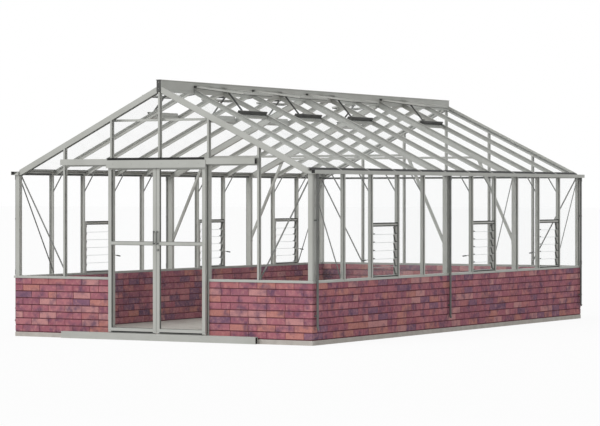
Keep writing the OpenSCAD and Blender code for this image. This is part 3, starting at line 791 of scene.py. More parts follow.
@dataclass
class Cappings:
    """Caps over the fins of the glazing bars, with the sealing strips of bars, dark grey strips of painted
    shade under and behind the rafters, and covers over the edges of the corner panes, the rear ones dark grey
    as painted shade.
    """

    plan: Plan
    width: float = 0.022
    thick: float = 0.0035
    seal: float = 0.0042
    gap: float = 0.0006
    arris: float = 0.001
    skirt: float = 0.020
    # Insets of a corner cover's two edges from the gable's face
    corner: Span = (0.084, 0.0545)
    cover: float = 0.002
    door_bays: float = 1.5
    post_room: float = 0.055
    # Thickness of the strips of painted shade under and behind the rafters
    rafter_shade_t: float = 0.0025
    # Dark grey strips of painted shade under the gable rafters: their spans outward from the gable's face
    rafter_shade_lines: tuple[Span, Span] = ((-0.0130, -0.001), (-0.049, -0.0185))
    # Dark grey strips of painted shade on the rafters' inner side: insets from the middle and the wall's
    # face, and depths below the roof
    rafter_shade_ends: Span = (0.06, 0.09)
    rafter_shade_depth: Span = (0.044, 0.021)
    past_ridge: float = 0.003
    past_wall: float = 0.004
    seal_short: float = 0.004

    def build(self) -> None:
        """Builds the caps of the walls, gables and slopes."""
        self.build_walls()
        self.build_gables()
        self.build_slopes()

    def sides(self, line: float) -> tuple[Span, Span]:
        """Gives the two seals beside a fin on a bar's line."""
        near, far = self.plan.fin_w / 2 + self.gap, self.plan.fin_w / 2 + self.seal
        return (line - far, line - near), (line + near, line + far)

    def under(self, x: float) -> float:
        """Gives the underside of the gable rafters over x."""
        return self.plan.roof_z(x, -self.plan.verge_d) - self.gap

    def build_walls(self) -> None:
        """Builds the caps of both long sides, and the covers over the edges of their corner panes; the rear
        covers are dark grey as painted shade on the rear corners.
        """
        plan = self.plan
        draft = Draft("wall_cappings")
        top, pane = plan.fin - plan.side_seat, plan.glass - plan.side_seat + self.gap
        eaves = plan.eaves - self.gap
        cap_z = (plan.sill_top - self.skirt, eaves)
        for side in Side:
            place = plan.wall(side)
            for y in map(plan.bar_y, range(1, plan.bays_along)):
                draft.box((top, top + self.thick), around(y, self.width / 2), cap_z, place, 0, self.arris)
                for seal in self.sides(y):
                    draft.box((pane, top), seal, (plan.sill_top, eaves), place, 1)
            # Front covers are aluminium; rear covers are dark grey as painted shade on the rear corner posts
            for end in End:
                edges = facing(end.value, *(plan.half_l - inset for inset in self.corner))
                draft.box((pane, pane + self.cover), edges, (plan.sill_top + self.gap, eaves), place,
                          0 if end is End.FRONT else 1)
        draft.build(ALUMINIUM, SEAL_AND_SHADE)

    def build_gables(self) -> None:
        """Builds the caps of both gables, and the dark grey strips of painted shade under and behind the
        gable rafters.
        """
        plan = self.plan
        draft = Draft("gable_cappings")
        top, pane = plan.fin - plan.seat, plan.glass - plan.seat + self.gap
        head = float(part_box("door_frame")[1][2])
        deep, shallow = self.rafter_shade_depth
        behind = (-plan.verge_w - self.rafter_shade_t, -plan.verge_w - SLIT)
        for end in End:
            place = plan.gable(end)
            for x in map(plan.bar_x, range(1, plan.bays_across)):
                over_door = end is End.FRONT and abs(x) < plan.bay * self.door_bays
                foot = (head if over_door else plan.sill_top) + self.gap
                draft.strip(around(x, self.width / 2), (top, top + self.thick),
                            lambda at: (foot, self.under(at)), place)
                for seal in self.sides(x):
                    draft.strip(seal, (pane, top), lambda at: (foot, self.under(at)), place, 1)
            for i in range(plan.bays_across):
                x0 = max(plan.bar_x(i) + plan.bar_w / 2, self.post_room - plan.half_w) + self.gap
                x1 = min(plan.bar_x(i + 1) - plan.bar_w / 2, plan.half_w - self.post_room) - self.gap
                # Dark grey strips under the rafter: painted shade of the rafter's underside
                for out in self.rafter_shade_lines:
                    draft.strip((x0, x1), out, lambda at: (self.under(at) - self.rafter_shade_t, self.under(at)),
                                place, 1)
            # Dark grey strips behind the rafters: painted shade on the rafters' inner side
            for side in Side:
                across = (side.value * self.rafter_shade_ends[0], side.value * (plan.half_w - self.rafter_shade_ends[1]))
                draft.strip(across, behind, lambda at: (plan.roof_z(at, -deep), plan.roof_z(at, -shallow)),
                            place, 1)
        draft.build(ALUMINIUM, SEAL_AND_SHADE)

    def build_slopes(self) -> None:
        """Builds the caps of both slopes."""
        plan = self.plan
        draft = Draft("roof_cappings")
        top, pane = plan.fin - plan.seat, plan.glass - plan.seat + self.gap
        start = (plan.ridge_half + self.past_ridge) / plan.lean
        end = (plan.half_w + self.past_wall) / plan.lean
        cap_z = (top, top + self.thick)
        for side in Side:
            place = plan.slope(side)
            for y in map(plan.bar_y, range(1, plan.bays_along)):
                draft.box((start, end), around(y, self.width / 2), cap_z, place, 0, self.arris)
                for seal in self.sides(y):
                    draft.box((start, end - self.seal_short), seal, (pane, top), place, 1)
        draft.build(ALUMINIUM, PALE_SEAL)


@dataclass
class RoofEdges:
    """Ridge end caps, strips of painted shade along the eaves and on the rear rail, and what belongs to the
    gutters and downpipes.
    """

    plan: Plan
    gap: float = 0.0006
    arris: float = 0.001
    cap: float = 0.005
    # Drops below the crest: the upper cap's foot and top, and the two bolts
    cap_lip: Span = (0.0085, 0.001)
    cap_bolts: Span = (0.03, 0.1)
    cap_bolt: float = 0.004
    strip: float = 0.002
    # Insets of the start and end of the eaves strip, a black strip of painted shade, from the wall's face
    eaves_shade_reach: Span = (0.080, 0.004)
    eaves_shade_top: float = -0.001
    eaves_shade_round: float = 0.002
    by_bar: float = 0.012
    by_verge: float = 0.032
    beam_short: float = 0.04
    # Foot and top of the beam's dark strip of painted shade above the eaves
    beam_shade_strip: Span = (0.002, 0.022)
    rail_d: float = 0.0143
    rail_short: float = 0.012
    # Foot and top of the rear rail's dark strip of painted shade above the eaves
    rail_shade_strip: Span = (-0.004, 0.017)
    gutter_t: float = 0.004
    trough: float = 0.040
    below_rim: float = 0.001
    stop_t: float = 0.004
    strap_arris: float = 0.0006
    strap_half: float = 0.010
    strap_drop: Span = (0.006, 0.003)
    pipe_out: float = 0.0275
    pipe_inset: float = 0.060
    pipe_sides: int = 20
    # Rings on a downpipe: drop below the eaves or height, then length and radius
    outlet: Point = (0.05, 0.049, 0.0165)
    socket: Point = (0.69, 0.05, 0.0150)
    # Heights of the low clip, held to the wall, and the high clip, held to the corner post
    clips: Span = (0.30, 1.30)
    clip_h: float = 0.016
    clip_r: float = 0.0152
    wall_clip: Span = (0.001, 0.016)
    # Half of the low clip's width and height
    wall_clip_half: Span = (0.020, 0.010)
    post_clip: Span = (0.003, 0.014)
    post_clip_reach: float = 0.032

    def build(self) -> None:
        """Builds the pieces along the roof's edges."""
        self.build_ridge()
        self.build_eaves()
        self.build_gutters()
        self.build_pipes()

    def build_ridge(self) -> None:
        """Builds the dark caps on the ridge's ends."""
        plan = self.plan
        draft = Draft("ridge_end_caps")
        low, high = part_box("ridge_beam")
        foot, crest, wing = float(low[2]), float(high[2]), float(high[0])
        lip, short = self.cap_lip
        for end in End:
            place = plan.gable(end)
            for half, height in ((plan.ridge_half, (foot + GAP, crest - lip - GAP)),
                                 (wing, (crest - lip, crest - short))):
                draft.box(around(0.0, half - GAP), (0.0, self.cap), height, place, 0, self.arris)
            for drop in self.cap_bolts:
                draft.bolt(place @ Vector((0.0, self.cap, crest - drop)), Vector((0, end.value, 0)),
                           self.cap_bolt, 1)
        draft.build(DARK_PLASTIC_AND_SHADE, STEEL)

    def build_eaves(self) -> None:
        """Builds the strips of painted shade under the roof's glass, black over a pale lower layer, and dark
        ones inside the eaves beams and on the rear rail.
        """
        plan = self.plan
        draft = Draft("eaves_shade_strips")
        low = plan.glass - plan.seat + self.gap
        slope = tuple((plan.half_w - inset) / plan.lean for inset in self.eaves_shade_reach)
        face, rail = -plan.post_d - self.gap, -plan.post_d - self.rail_d - self.gap
        beam, bar = ((plan.eaves + up[0], plan.eaves + up[1]) for up in (self.beam_shade_strip, self.rail_shade_strip))
        for side, j in product(Side, range(plan.bays_along)):
            place = plan.slope(side)
            y0 = plan.bar_y(j) + self.by_bar if j else self.by_verge - plan.half_l
            y1 = plan.bar_y(j + 1) - self.by_bar if j + 1 < plan.bays_along else plan.half_l - self.by_verge
            draft.box(slope, (y0, y1), (low, low + self.strip), place, 1)
            # Black upper layer: painted shade along the eaves under the roof bars
            draft.box(slope, (y0, y1), (low + self.strip, self.eaves_shade_top), place, 2, self.eaves_shade_round)
            # Dark strip inside the eaves beam: painted shade
            draft.box((face - self.strip, face), (y0 + self.beam_short, y1 - self.beam_short), beam,
                      plan.wall(side))
        # Dark strip on the rear rail: painted shade of the rail
        draft.box(around(0.0, plan.half_w - plan.post_d - self.rail_short), (rail - self.strip, rail), bar,
                  plan.gable(End.REAR))
        draft.build(DARK_PLASTIC_AND_SHADE, ALUMINIUM, RUBBER_AND_SHADE)

    def build_gutters(self) -> None:
        """Builds the gutters' stop ends and the straps across them."""
        plan = self.plan
        ends, straps = Draft("gutter_stop_ends"), Draft("gutter_straps")
        across = (self.gap, plan.gutter_out - plan.half_w - self.gutter_t - self.gap)
        low, high = plan.eaves + self.gutter_t + self.gap, plan.eaves + self.trough - self.below_rim
        strap = tuple(high - drop for drop in self.strap_drop)
        for side in Side:
            place = plan.wall(side)
            for end in End:
                along = facing(end.value, plan.gutter_end - self.stop_t, plan.gutter_end - GAP)
                ends.box(across, along, (low, high), place)
            for y in map(plan.bar_y, range(plan.bays_along + 1)):
                straps.box(across, around(y, self.strap_half), strap, place, 0, self.strap_arris)
        ends.build(RUBBER_AND_SHADE)
        straps.build(ALUMINIUM)

    def build_pipes(self) -> None:
        """Builds the downpipes' collars, sockets and clips."""
        plan = self.plan
        draft = Draft("downpipe_fittings")
        drop, outlet_h, outlet_r = self.outlet
        rings = [(plan.eaves - drop, outlet_h, outlet_r), self.socket,
                 *((z, self.clip_h, self.clip_r) for z in self.clips)]
        low_clip = around(self.clips[0] + self.clip_h / 2, self.wall_clip_half[1])
        high_clip = (self.clips[1], self.clips[1] + self.clip_h)
        corners = around(0.0, plan.half_l - self.pipe_inset)
        for side, y in product(Side, (*corners, plan.bar_y(plan.portals[0]))):
            place = plan.wall(side)
            axis = place @ Vector((self.pipe_out, y, 0.0))
            for height, length, radius in rings:
                draft.drum(axis + UP * height, UP, radius, length, 0, self.pipe_sides)
            draft.box(self.wall_clip, around(y, self.wall_clip_half[0]), low_clip, place, 0, self.arris)
            if y in corners:
                reach = y + math.copysign(self.post_clip_reach, y)
                draft.box(self.post_clip, (min(y, reach), max(y, reach)), high_clip, place, 0, self.arris)
        draft.build(PIPE)


@dataclass
class LouvreFittings:
    """Clips at the blades' ends, blade edges, seals on head and foot, and the operating bars."""

    plan: Plan
    blades: int = 6
    tilt: float = math.radians(14)
    height: float = 0.595
    head: float = 0.042
    foot: float = 0.014
    side: float = 0.032
    depth: float = 0.030
    arris: float = 0.0006
    # Insets of the operating bar's edges from the frame's side
    rod: Span = (0.0265, 0.0315)
    rod_out: float = 0.006
    rod_foot: float = 0.04
    lever_up: float = 0.195
    lever_out: float = 0.0043
    lever: float = 0.095
    droop: float = math.radians(8)
    grip_r: float = 0.0075
    grip_past: float = 0.003
    blade_gap: float = 0.0008
    edge: float = 0.0026
    clip_w: float = 0.012
    clip_half: float = 0.006
    clip_short: float = 0.004
    clip_arris: float = 0.0015
    # Foot and top of a clip's toe above the blade's lower edge
    toe: Span = (0.002, 0.010)
    toe_out: float = 0.024
    seal_t: float = 0.0036
    seal_h: float = 0.010
    seal_lap: float = 0.001
    inner_seal_in: float = 0.033

    def build(self) -> None:
        """Builds the fittings of every louvre window."""
        plan = self.plan
        clips, seals, rods = Draft("louvre_clips"), Draft("louvre_seals"), Draft("louvre_bars")
        inner = -plan.side_seat - self.depth
        rod_z = (plan.sill_top + self.rod_foot, plan.sill_top + self.height - self.head)
        for side, j in product(Side, plan.louvres):
            place = plan.wall(side)
            y0 = plan.bar_y(j) + plan.bar_w / 2 + SLIT
            y1 = plan.bar_y(j + 1) - plan.bar_w / 2 - SLIT
            hand = y0 if side is Side.RIGHT else y1
            rod_y = sorted(hand + side.value * inset for inset in self.rod)
            self.dress_blades(clips, place, y0 + self.side, y1 - self.side)
            self.dress_frame(seals, place, y0, y1)
            self.dress_lever(clips, place, hand + side.value * self.side / 2)
            rods.box((inner - self.rod_out, inner - GAP), rod_y, rod_z, place, 0, self.arris)
        clips.build(DARK_PLASTIC_AND_SHADE, GLASS_EDGE)
        seals.build(RUBBER_AND_SHADE)
        rods.build(ALUMINIUM)

    def dress_lever(self, draft: Draft, place: Matrix, y: float) -> None:
        """Adds the dark grip of one window's lever.

        Args:
            draft: The piece that gets it.
            place: The wall's placement.
            y: The lever's line.
        """
        plan = self.plan
        root = Vector((-plan.side_seat - self.depth - self.lever_out, y, plan.sill_top + self.lever_up))
        way = Vector((-math.cos(self.droop), 0.0, -math.sin(self.droop)))
        start = place @ (root + way * self.lever / 2)
        draft.drum(start, place.to_3x3() @ way, self.grip_r, self.lever / 2 + self.grip_past)

    def dress_blades(self, draft: Draft, place: Matrix, y0: float, y1: float) -> None:
        """Adds the clips and the ground edges of one window's blades.

        Args:
            draft: The piece that gets them.
            place: The wall's placement.
            y0: Start of the blades.
            y1: End of the blades.
        """
        plan = self.plan
        pitch = (self.height - self.foot - self.head) / self.blades
        middle = -plan.side_seat - self.depth / 2
        half = pitch / 2 - self.blade_gap
        toe = (self.toe[0] - half, self.toe[1] - half)
        for k in range(self.blades):
            z = plan.sill_top + self.foot + pitch * (k + 0.5)
            turned = place @ Matrix.Translation((middle, 0, z)) @ Matrix.Rotation(-self.tilt, 4, "Y")
            for along in ((y0 + GAP, y0 + self.clip_w), (y1 - self.clip_w, y1 - GAP)):
                draft.box(around(0.0, self.clip_half), along, around(0.0, half - self.clip_short), turned, 0,
                          self.clip_arris)
                draft.box((self.clip_half, self.toe_out), along, toe, turned, 0, self.clip_arris)
            draft.box(around(0.0, self.edge), (y0 + self.clip_w, y1 - self.clip_w), (-half, self.edge - half),
                      turned, 1)

    def dress_frame(self, draft: Draft, place: Matrix, y0: float, y1: float) -> None:
        """Adds the dark seals on the inside and outside of one window's frame.

        Args:
            draft: The piece that gets them.
            place: The wall's placement.
            y0: Start of the frame.
            y1: End of the frame.
        """
        sill, outer = self.plan.sill_top, -self.plan.side_seat
        inner, top = outer - self.depth, sill + self.height
        for height in ((top - self.seal_h - self.seal_lap, top),
                       (top - self.head, top - self.head + self.seal_h),
                       (sill + self.seal_lap, sill + self.seal_lap + self.seal_h)):
            draft.box((outer + SLIT, outer + self.seal_t), (y0, y1), height, place, 0, self.arris)
            draft.box((inner - self.seal_t, inner - SLIT), (y0 + self.inner_seal_in, y1), height, place, 0,
                      self.arris)


@dataclass
class VentFittings:
    """Hinge ends, seals and corner screws of the open roof vents, and linings of their cross bars."""

    plan: Plan
    length: float = 0.640
    thick: float = 0.020
    side: float = 0.006
    sag: float = math.radians(8)
    hinge_up: float = 0.022
    hinge_end: float = 0.010
    hinge_x: Span = (0.003, 0.034)
    hinge_z: Span = (-0.024, 0.002)
    hinge_arris: float = 0.0015
    flap_x: Span = (0.004, 0.034)
    flap_in: float = 0.05
    flap_half: float = 0.03
    flap_t: float = 0.003
    flap_arris: float = 0.0008
    seal_t: float = 0.005
    seal_start: float = 0.04
    seal_side: Span = (0.004, 0.014)
    # Insets of the foot seal's edges from the sash's foot
    seal_foot: Span = (0.016, 0.004)
    seal_foot_in: float = 0.015
    screw_x: float = 0.05
    screw_in: float = 0.013
    # Radius and height of a screw's head
    screw: Span = (0.0045, 0.0015)
    screw_sides: int = 12
    cross_t: float = 0.012
    cross_up: float = 0.027
    cross_in: float = 0.001
    arm_in: float = 0.100
    arm_room: float = 0.016
    lining: float = 0.002

    def build(self) -> None:
        """Builds the fittings of every vent."""
        plan = self.plan
        hinges, seals, linings = Draft("vent_hinges"), Draft("vent_seals"), Draft("vent_linings")
        for side, j in product(Side, plan.vents):
            root = (plan.ridge_half + SLIT, plan.bar_y(j) - self.side, plan.apex + self.hinge_up)
            place = flip(side.value) @ Matrix.Translation(root) @ Matrix.Rotation(self.sag, 4, "Y")
            self.dress_sash(hinges, seals, place)
            self.line_cross_bar(linings, plan.slope(side), plan.bar_y(j))
        hinges.build(DARK_PLASTIC_AND_SHADE, STEEL)
        seals.build(RUBBER_AND_SHADE)
        linings.build(ALUMINIUM)

    def dress_sash(self, hinges: Draft, seals: Draft, place: Matrix) -> None:
        """Adds one vent's hinge ends, hinge flaps, seals and screws.

        Args:
            hinges: The draft that gets hinges and screws.
            seals: The draft that gets the seals.
            place: The sash's placement: x down it from the hinge, y along the house, z out of it.
        """
        width = self.plan.bay + 2 * self.side
        for along in ((-self.hinge_end, -GAP), (width + GAP, width + self.hinge_end)):
            hinges.box(self.hinge_x, along, self.hinge_z, place, 0, self.hinge_arris)
        for y in (self.flap_in, width / 2, width - self.flap_in):
            hinges.box(self.flap_x, around(y, self.flap_half), (SLIT, self.flap_t), place, 1, self.flap_arris)
        near, far = self.seal_side
        foot, end = (self.length - inset for inset in self.seal_foot)
        for x, y in (((self.seal_start, end), (near, far)),
                     ((self.seal_start, end), (width - far, width - near)),
                     ((foot, end), (self.seal_foot_in, width - self.seal_foot_in))):
            seals.box(x, y, (-self.thick - self.seal_t, -self.thick - SLIT), place)
        up = (place.to_3x3() @ UP).normalized()
        inset = self.screw_in
        for x, y in product((self.screw_x, self.length - inset), (inset, width - inset)):
            hinges.drum(place @ Vector((x, y, 0.0)), up, *self.screw, 1, self.screw_sides)

    def line_cross_bar(self, draft: Draft, place: Matrix, line: float) -> None:
        """Lines the upper side and the underside of the cross bar below a vent, clear of the opener's arms.

        Args:
            draft: The draft that gets the linings.
            place: The slope's placement.
            line: The line of the bar at the vent's front side.
        """
        plan = self.plan
        edge = plan.bar_w / 2 + self.cross_in
        start, end, arm = line + edge, line + plan.bay - edge, line + self.arm_in
        face, under = self.length - SLIT, -plan.seat
        for along in ((start, arm - self.arm_room), (arm + self.arm_room, end)):
            draft.box((face - self.lining, face), along, (under, self.cross_up), place)
        draft.box((face, face + self.cross_t), (start, end), (under - self.lining, under), place)


@dataclass
class FrameBolts:
    """Plates and bolts of the portal frames, and bolts of the stays and wind braces."""

    plan: Plan
    knee_foot: float = 0.365
    knee_w: float = 0.032
    tie: float = 0.226
    tie_h: float = 0.026
    foot_plate: float = 0.06
    knee_plate: float = 0.055
    tie_plate: float = 0.040
    plate_half: float = 0.019
    plate_t: float = 0.004
    plate_arris: float = 0.001
    plate_bolt: float = 0.005
    plate_bolt_in: float = 0.010
    plate_bolt_off: float = 0.011
    crown_bolt: float = 0.006
    # Crown bolts: distance from the middle, and from the portal's line
    crown_off: Span = (0.015, 0.0225)
    crown_drop: float = 0.012
    stay_drop: float = 0.175
    stay_pitch: float = math.radians(58)
    stay_bolt: float = 0.0042
    stay_bolt_in: float = 0.014
    strap_t: float = 0.004
    brace_bolt: float = 0.0045
    brace_up: float = 0.024
    # Insets of a gable brace's upper bolt from the wall's face and the eaves
    brace_top: Span = (0.056, 0.028)
    side_brace_off: float = 0.005
    gable_brace_off: float = 0.004

    def build(self) -> None:
        """Builds the bolts of the whole frame."""
        self.build_portals()
        self.build_stays()
        self.build_braces()

    def rafter_x(self, z: float) -> float:
        """Gives the distance from the middle to the portal rafters' undersides at a height."""
        plan = self.plan
        return (plan.roof_z(0, -plan.seat - plan.portal_d) - z) / plan.rise

    def build_portals(self) -> None:
        """Builds the plates and bolts where the portals' braces and ties meet posts and rafters."""
        plan = self.plan
        draft = Draft("portal_plates")
        inner = plan.half_w - plan.side_seat - plan.portal_d
        tie_z = plan.eaves + self.tie
        ends = ((tie_z - self.knee_w, self.knee_plate), (tie_z + self.tie_h / 2, self.tie_plate))
        crown_z = plan.roof_z(0, -plan.verge_d) - self.crown_drop
        for j in plan.portals:
            y = plan.bar_y(j)
            for side in Side:
                mirror = flip(side.value) @ Matrix.Translation((0, y, 0))
                foot = mirror @ Matrix.Translation((inner, 0, plan.sill_top + self.knee_foot))
                self.plate(draft, foot @ Matrix.Rotation(-math.pi / 2, 4, "Y"), self.foot_plate)
                for z, half in ends:
                    under = mirror @ Matrix.Translation((self.rafter_x(z), 0, z))
                    self.plate(draft, under @ Matrix.Rotation(math.pi + plan.pitch, 4, "Y"), half)
            for x, way in product((-1, 1), repeat=2):
                spot = Vector((x * self.crown_off[0], y + way * self.crown_off[1], crown_z))
                draft.bolt(spot, Vector((0, way, 0)), self.crown_bolt, 1)
        draft.build(ALUMINIUM, STEEL)

    def plate(self, draft: Draft, place: Matrix, half: float) -> None:
        """Adds a plate with two bolts at each end.

        Args:
            draft: The piece that gets it.
            place: Places the plate: x along it, z away from the face that it lies on.
            half: Half of its length.
        """
        draft.box(around(0.0, half), around(0.0, self.plate_half), (SLIT, self.plate_t), place, 0,
                  self.plate_arris)
        up = place.to_3x3() @ UP
        for x, y in product(around(0.0, half - self.plate_bolt_in), around(0.0, self.plate_bolt_off)):
            draft.bolt(place @ Vector((x, y, self.plate_t)), up, self.plate_bolt, 1)

    def build_stays(self) -> None:
        """Builds a bolt at each end of every eaves stay."""
        plan = self.plan
        draft = Draft("stay_bolts")
        foot_x = plan.half_w - plan.side_seat - plan.bar_d
        foot_z = plan.eaves - self.stay_drop
        c, s = math.cos(self.stay_pitch), math.sin(self.stay_pitch)
        under = plan.roof_z(0, -plan.seat - plan.bar_d)
        reach = (under - foot_x * plan.rise - foot_z) / (s - c * plan.rise)
        bars = [j for j in range(1, plan.bays_along) if j not in plan.portals]
        bolts = (self.stay_bolt_in, reach - self.stay_bolt_in)
        for side, j, along, way in product(Side, bars, bolts, (-1, 1)):
            spot = Vector((side.value * (foot_x - c * along), plan.bar_y(j) + way * self.strap_t / 2,
                           foot_z + s * along))
            draft.bolt(spot, Vector((0, way, 0)), self.stay_bolt)
        draft.build(STEEL)

    def build_braces(self) -> None:
        """Builds the bolts of the wind braces, on their inner faces."""
        plan = self.plan
        draft = Draft("wind_brace_bolts")
        inset = plan.bar_d + self.strap_t + SLIT
        inner, face = plan.half_w - plan.side_seat - inset, plan.half_l - plan.seat - inset
        low = plan.sill_top + self.brace_up
        along = plan.bar_y(plan.bays_along - 1) + self.side_brace_off
        gable = ((plan.half_w - self.brace_top[0], plan.eaves - self.brace_top[1]),
                 (plan.bar_x(plan.bays_across - 1) + self.gable_brace_off, low))
        for side, end in product(Side, End):
            way, out = side.value, end.value
            draft.bolt(Vector((way * inner, out * along, low)), Vector((-way, 0, 0)), self.brace_bolt)
            for x, z in gable:
                draft.bolt(Vector((way * x, out * face, z)), Vector((0, -out, 0)), self.brace_bolt)
        draft.build(STEEL)


@dataclass
class DoorFittings:
    """Seals, lock and screws of the door leaves, a black strip of painted shade at each leaf's foot, and the
    end caps of track and guide.
    """

    plan: Plan
    half_gap: float = 0.0025
    clear: float = 0.020
    thick: float = 0.032
    foot: float = 0.085
    top: float = 1.895
    stile: float = 0.040
    rail: float = 0.045
    mid: float = 1.050
    mid_rail: float = 0.033
    track_out: float = 0.070
    fascia: float = 0.006
    arris: float = 0.001
    bead_w: float = 0.005
    bead_out: Span = (0.0022, 0.009)
    lip: float = 0.0017
    lip_half: float = 0.005
    lip_short: float = 0.010
    brush_short: float = 0.020
    brush_back: Span = (0.009, 0.002)
    brush_drop: float = 0.006
    # How far the black strip of painted shade at the leaf's foot stands out from the leaf, and its top above
    # the leaf's foot
    foot_shade_strip: Span = (0.0016, 0.012)
    # Radius and height of a screw's head
    screw: Span = (0.0035, 0.0012)
    screw_sides: int = 12
    # Screws on a stile, as shares of its width
    screw_off: Span = (0.3, 0.7)
    screw_drop: float = 0.040
    lock_z: float = 0.980
    lock_t: float = 0.003
    lock_sides: int = 24
    rose_r: float = 0.014
    barrel_r: float = 0.0085
    slot_half: float = 0.001
    slot_out: Span = (0.0066, 0.0055)
    slot_z: Span = (-0.005, 0.003)
    fascia_strip: float = 0.026
    fascia_screw: Span = (0.004, 0.0015)
    fascia_screws: Point = (0.08, 0.30, 0.55)
    fascia_screw_drop: float = 0.042
    cap: float = 0.003
    track_cap_in: float = 0.030
    track_cap_short: float = 0.001
    track_cap_z: Span = (0.006, 0.014)
    guide_cap_in: float = 0.022
    guide_cap_edge: float = 0.006
    guide_cap_top: float = 0.004
    jamb_brush: Span = (0.006, 0.002)
    jamb_brush_t: float = 0.014
    jamb_brush_short: float = 0.012

    def build(self) -> None:
        """Builds the fittings of both leaves and of the doorway."""
        self.build_leaf(Body.RIGHT_DOOR, 1)
        self.build_leaf(Body.LEFT_DOOR, -1)
        self.build_doorway()

    def build_leaf(self, body: Body, way: int) -> None:
        """Builds one leaf's seals, its black strip of painted shade at the foot, and its fixings.

        Args:
            body: The leaf's body.
            way: 1 for the right leaf and -1 for the left one.
        """
        place = flip(way) @ self.plan.gable(End.FRONT)
        start, end = self.half_gap, self.plan.bay
        middle, front = self.clear + self.thick / 2, self.clear + self.thick
        glass = (start + self.stile, end - self.stile)
        seals = Draft(f"{body.value}_seals")
        for height in ((self.foot + self.rail, self.mid - self.mid_rail / 2),
                       (self.mid + self.mid_rail / 2, self.top - self.rail)):
            self.bead(seals, place, glass, height, middle)
        seals.box((start - self.lip, start + GAP), around(middle, self.lip_half),
                  (self.foot + self.lip_short, self.top - self.lip_short), place)
        seals.box((start + self.brush_short, end - self.brush_short),
                  (front - self.brush_back[0], front - self.brush_back[1]),
                  (self.foot - self.brush_drop, self.foot + GAP), place)
        # Black strip at the leaf's foot: painted shade of the gap below the leaf
        seals.box(glass, (front + HAIR, front + self.foot_shade_strip[0]),
                  (self.foot + GAP, self.foot + self.foot_shade_strip[1]), place, 1)
        seals.build(SEAL_AND_SHADE, RUBBER_AND_SHADE, body=body)
        fixings = Draft(f"{body.value}_fixings")
        outward = Vector((0, -1, 0))
        stiles = [edge + toward * self.stile * off for edge, toward in ((start, 1), (end, -1))
                  for off in self.screw_off]
        rails = (self.foot + self.rail / 2, self.mid, self.top - self.screw_drop)
        for x, z in product(stiles, rails):
            fixings.drum(place @ Vector((x, front, z)), outward, *self.screw, 0, self.screw_sides)
        if body is Body.RIGHT_DOOR:
            self.lock(fixings, place @ Vector((start + self.stile / 2, front, self.lock_z)), outward)
        fixings.build(STEEL, DARK_PLASTIC_AND_SHADE, body=body)

    def lock(self, draft: Draft, spot: Vector, outward: Vector) -> None:
        """Adds the lock's rose, barrel and key slot.

        Args:
            draft: The piece that gets them.
            spot: The lock's middle on the stile's face.
            outward: Direction out of the face.
        """
        draft.drum(spot, outward, self.rose_r, self.lock_t, 1, self.lock_sides)
        draft.drum(spot + outward * self.lock_t, outward, self.barrel_r, self.lock_t, 0, self.lock_sides)
        draft.box(around(spot.x, self.slot_half), (spot.y - self.slot_out[0], spot.y - self.slot_out[1]),
                  (spot.z + self.slot_z[0], spot.z + self.slot_z[1]), mark=1)

    def bead(self, draft: Draft, place: Matrix, across: Span, height: Span, middle: float) -> None:
        """Adds the glazing seal round a pane, in front of it and behind it.

        Args:
            draft: The piece that gets it.
            place: The leaf's placement.
            across: Start and end of the opening.
            height: Bottom and top of the opening.
            middle: Distance from the gable to the pane's middle.
        """
        (x0, x1), (z0, z1), wide = across, height, self.bead_w
        near, far = self.bead_out
        inner = (x0 + wide, x1 - wide)
        for out in ((middle + near, middle + far), (middle - far, middle - near)):
            for x, z in (((x0, x0 + wide), height), ((x1 - wide, x1), height),
                         (inner, (z0, z0 + wide)), (inner, (z1 - wide, z1))):
                draft.box(x, out, z, place)

    def build_doorway(self) -> None:
        """Builds the dark strip and screws on the fascia, the end caps and the jambs' brushes."""
        plan = self.plan
        draft = Draft("doorway_seals")
        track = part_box("door_track")[1]
        guide_low, guide_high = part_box("door_guide")
        head = float(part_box("door_frame")[1][2])
        reach, track_top = float(track[0]), float(track[2])
        guide_out, guide_top = -plan.half_l - float(guide_low[1]), float(guide_high[2])
        out = self.track_out + self.fascia
        ends = (reach + HAIR, reach + self.cap)
        draft.box(around(0.0, plan.bay), (self.track_out + SLIT, out),
                  (head + GAP, head + self.fascia_strip), plan.gable(End.FRONT), 0, self.arris)
        for way in (-1, 1):
            place = flip(way) @ plan.gable(End.FRONT)
            draft.box(ends, (self.track_cap_in, self.track_out - self.track_cap_short),
                      (self.top + self.track_cap_z[0], track_top - self.track_cap_z[1]), place, 0, self.arris)
            draft.box(ends, (self.guide_cap_in, guide_out - self.guide_cap_edge),
                      (self.guide_cap_edge, guide_top - self.guide_cap_top), place, 0, self.arris)
            draft.box((plan.bay - self.jamb_brush[0], plan.bay + self.jamb_brush[1]),
                      (SLIT, self.jamb_brush_t),
                      (self.foot + self.lip_short, self.top - self.jamb_brush_short), place, 2)
            for x in self.fascia_screws:
                draft.drum(place @ Vector((x, out, head - self.fascia_screw_drop)), Vector((0, -1, 0)),
                           *self.fascia_screw, 1, self.screw_sides)
        draft.build(RUBBER_AND_SHADE, STEEL, SEAL_AND_SHADE)


@dataclass
class SillCorners:
    """The folded pieces that cover the mitres of the sill's corners."""

    plan: Plan
    nose: float = 0.010
    leg: float = 0.045
    thick: float = 0.0015
    arris: float = 0.0004
    below: float = 0.003

    def build(self) -> None:
        """Builds the four corner pieces."""
        plan = self.plan
        draft = Draft("sill_corners")
        height = (plan.wall_top + GAP, plan.sill_top - self.below)
        nose, edge = self.nose, plan.half_l + self.nose
        for side, end in product(Side, End):
            place = Matrix.Scale(end.value, 4, (0, 1, 0)) @ plan.wall(side)
            for x, y in ((nose + HAIR, edge - self.leg), (nose - self.leg, edge + HAIR)):
                draft.box((x, nose + self.thick), (y, edge + self.thick), height, place, 0, self.arris)
        draft.build(ALUMINIUM)


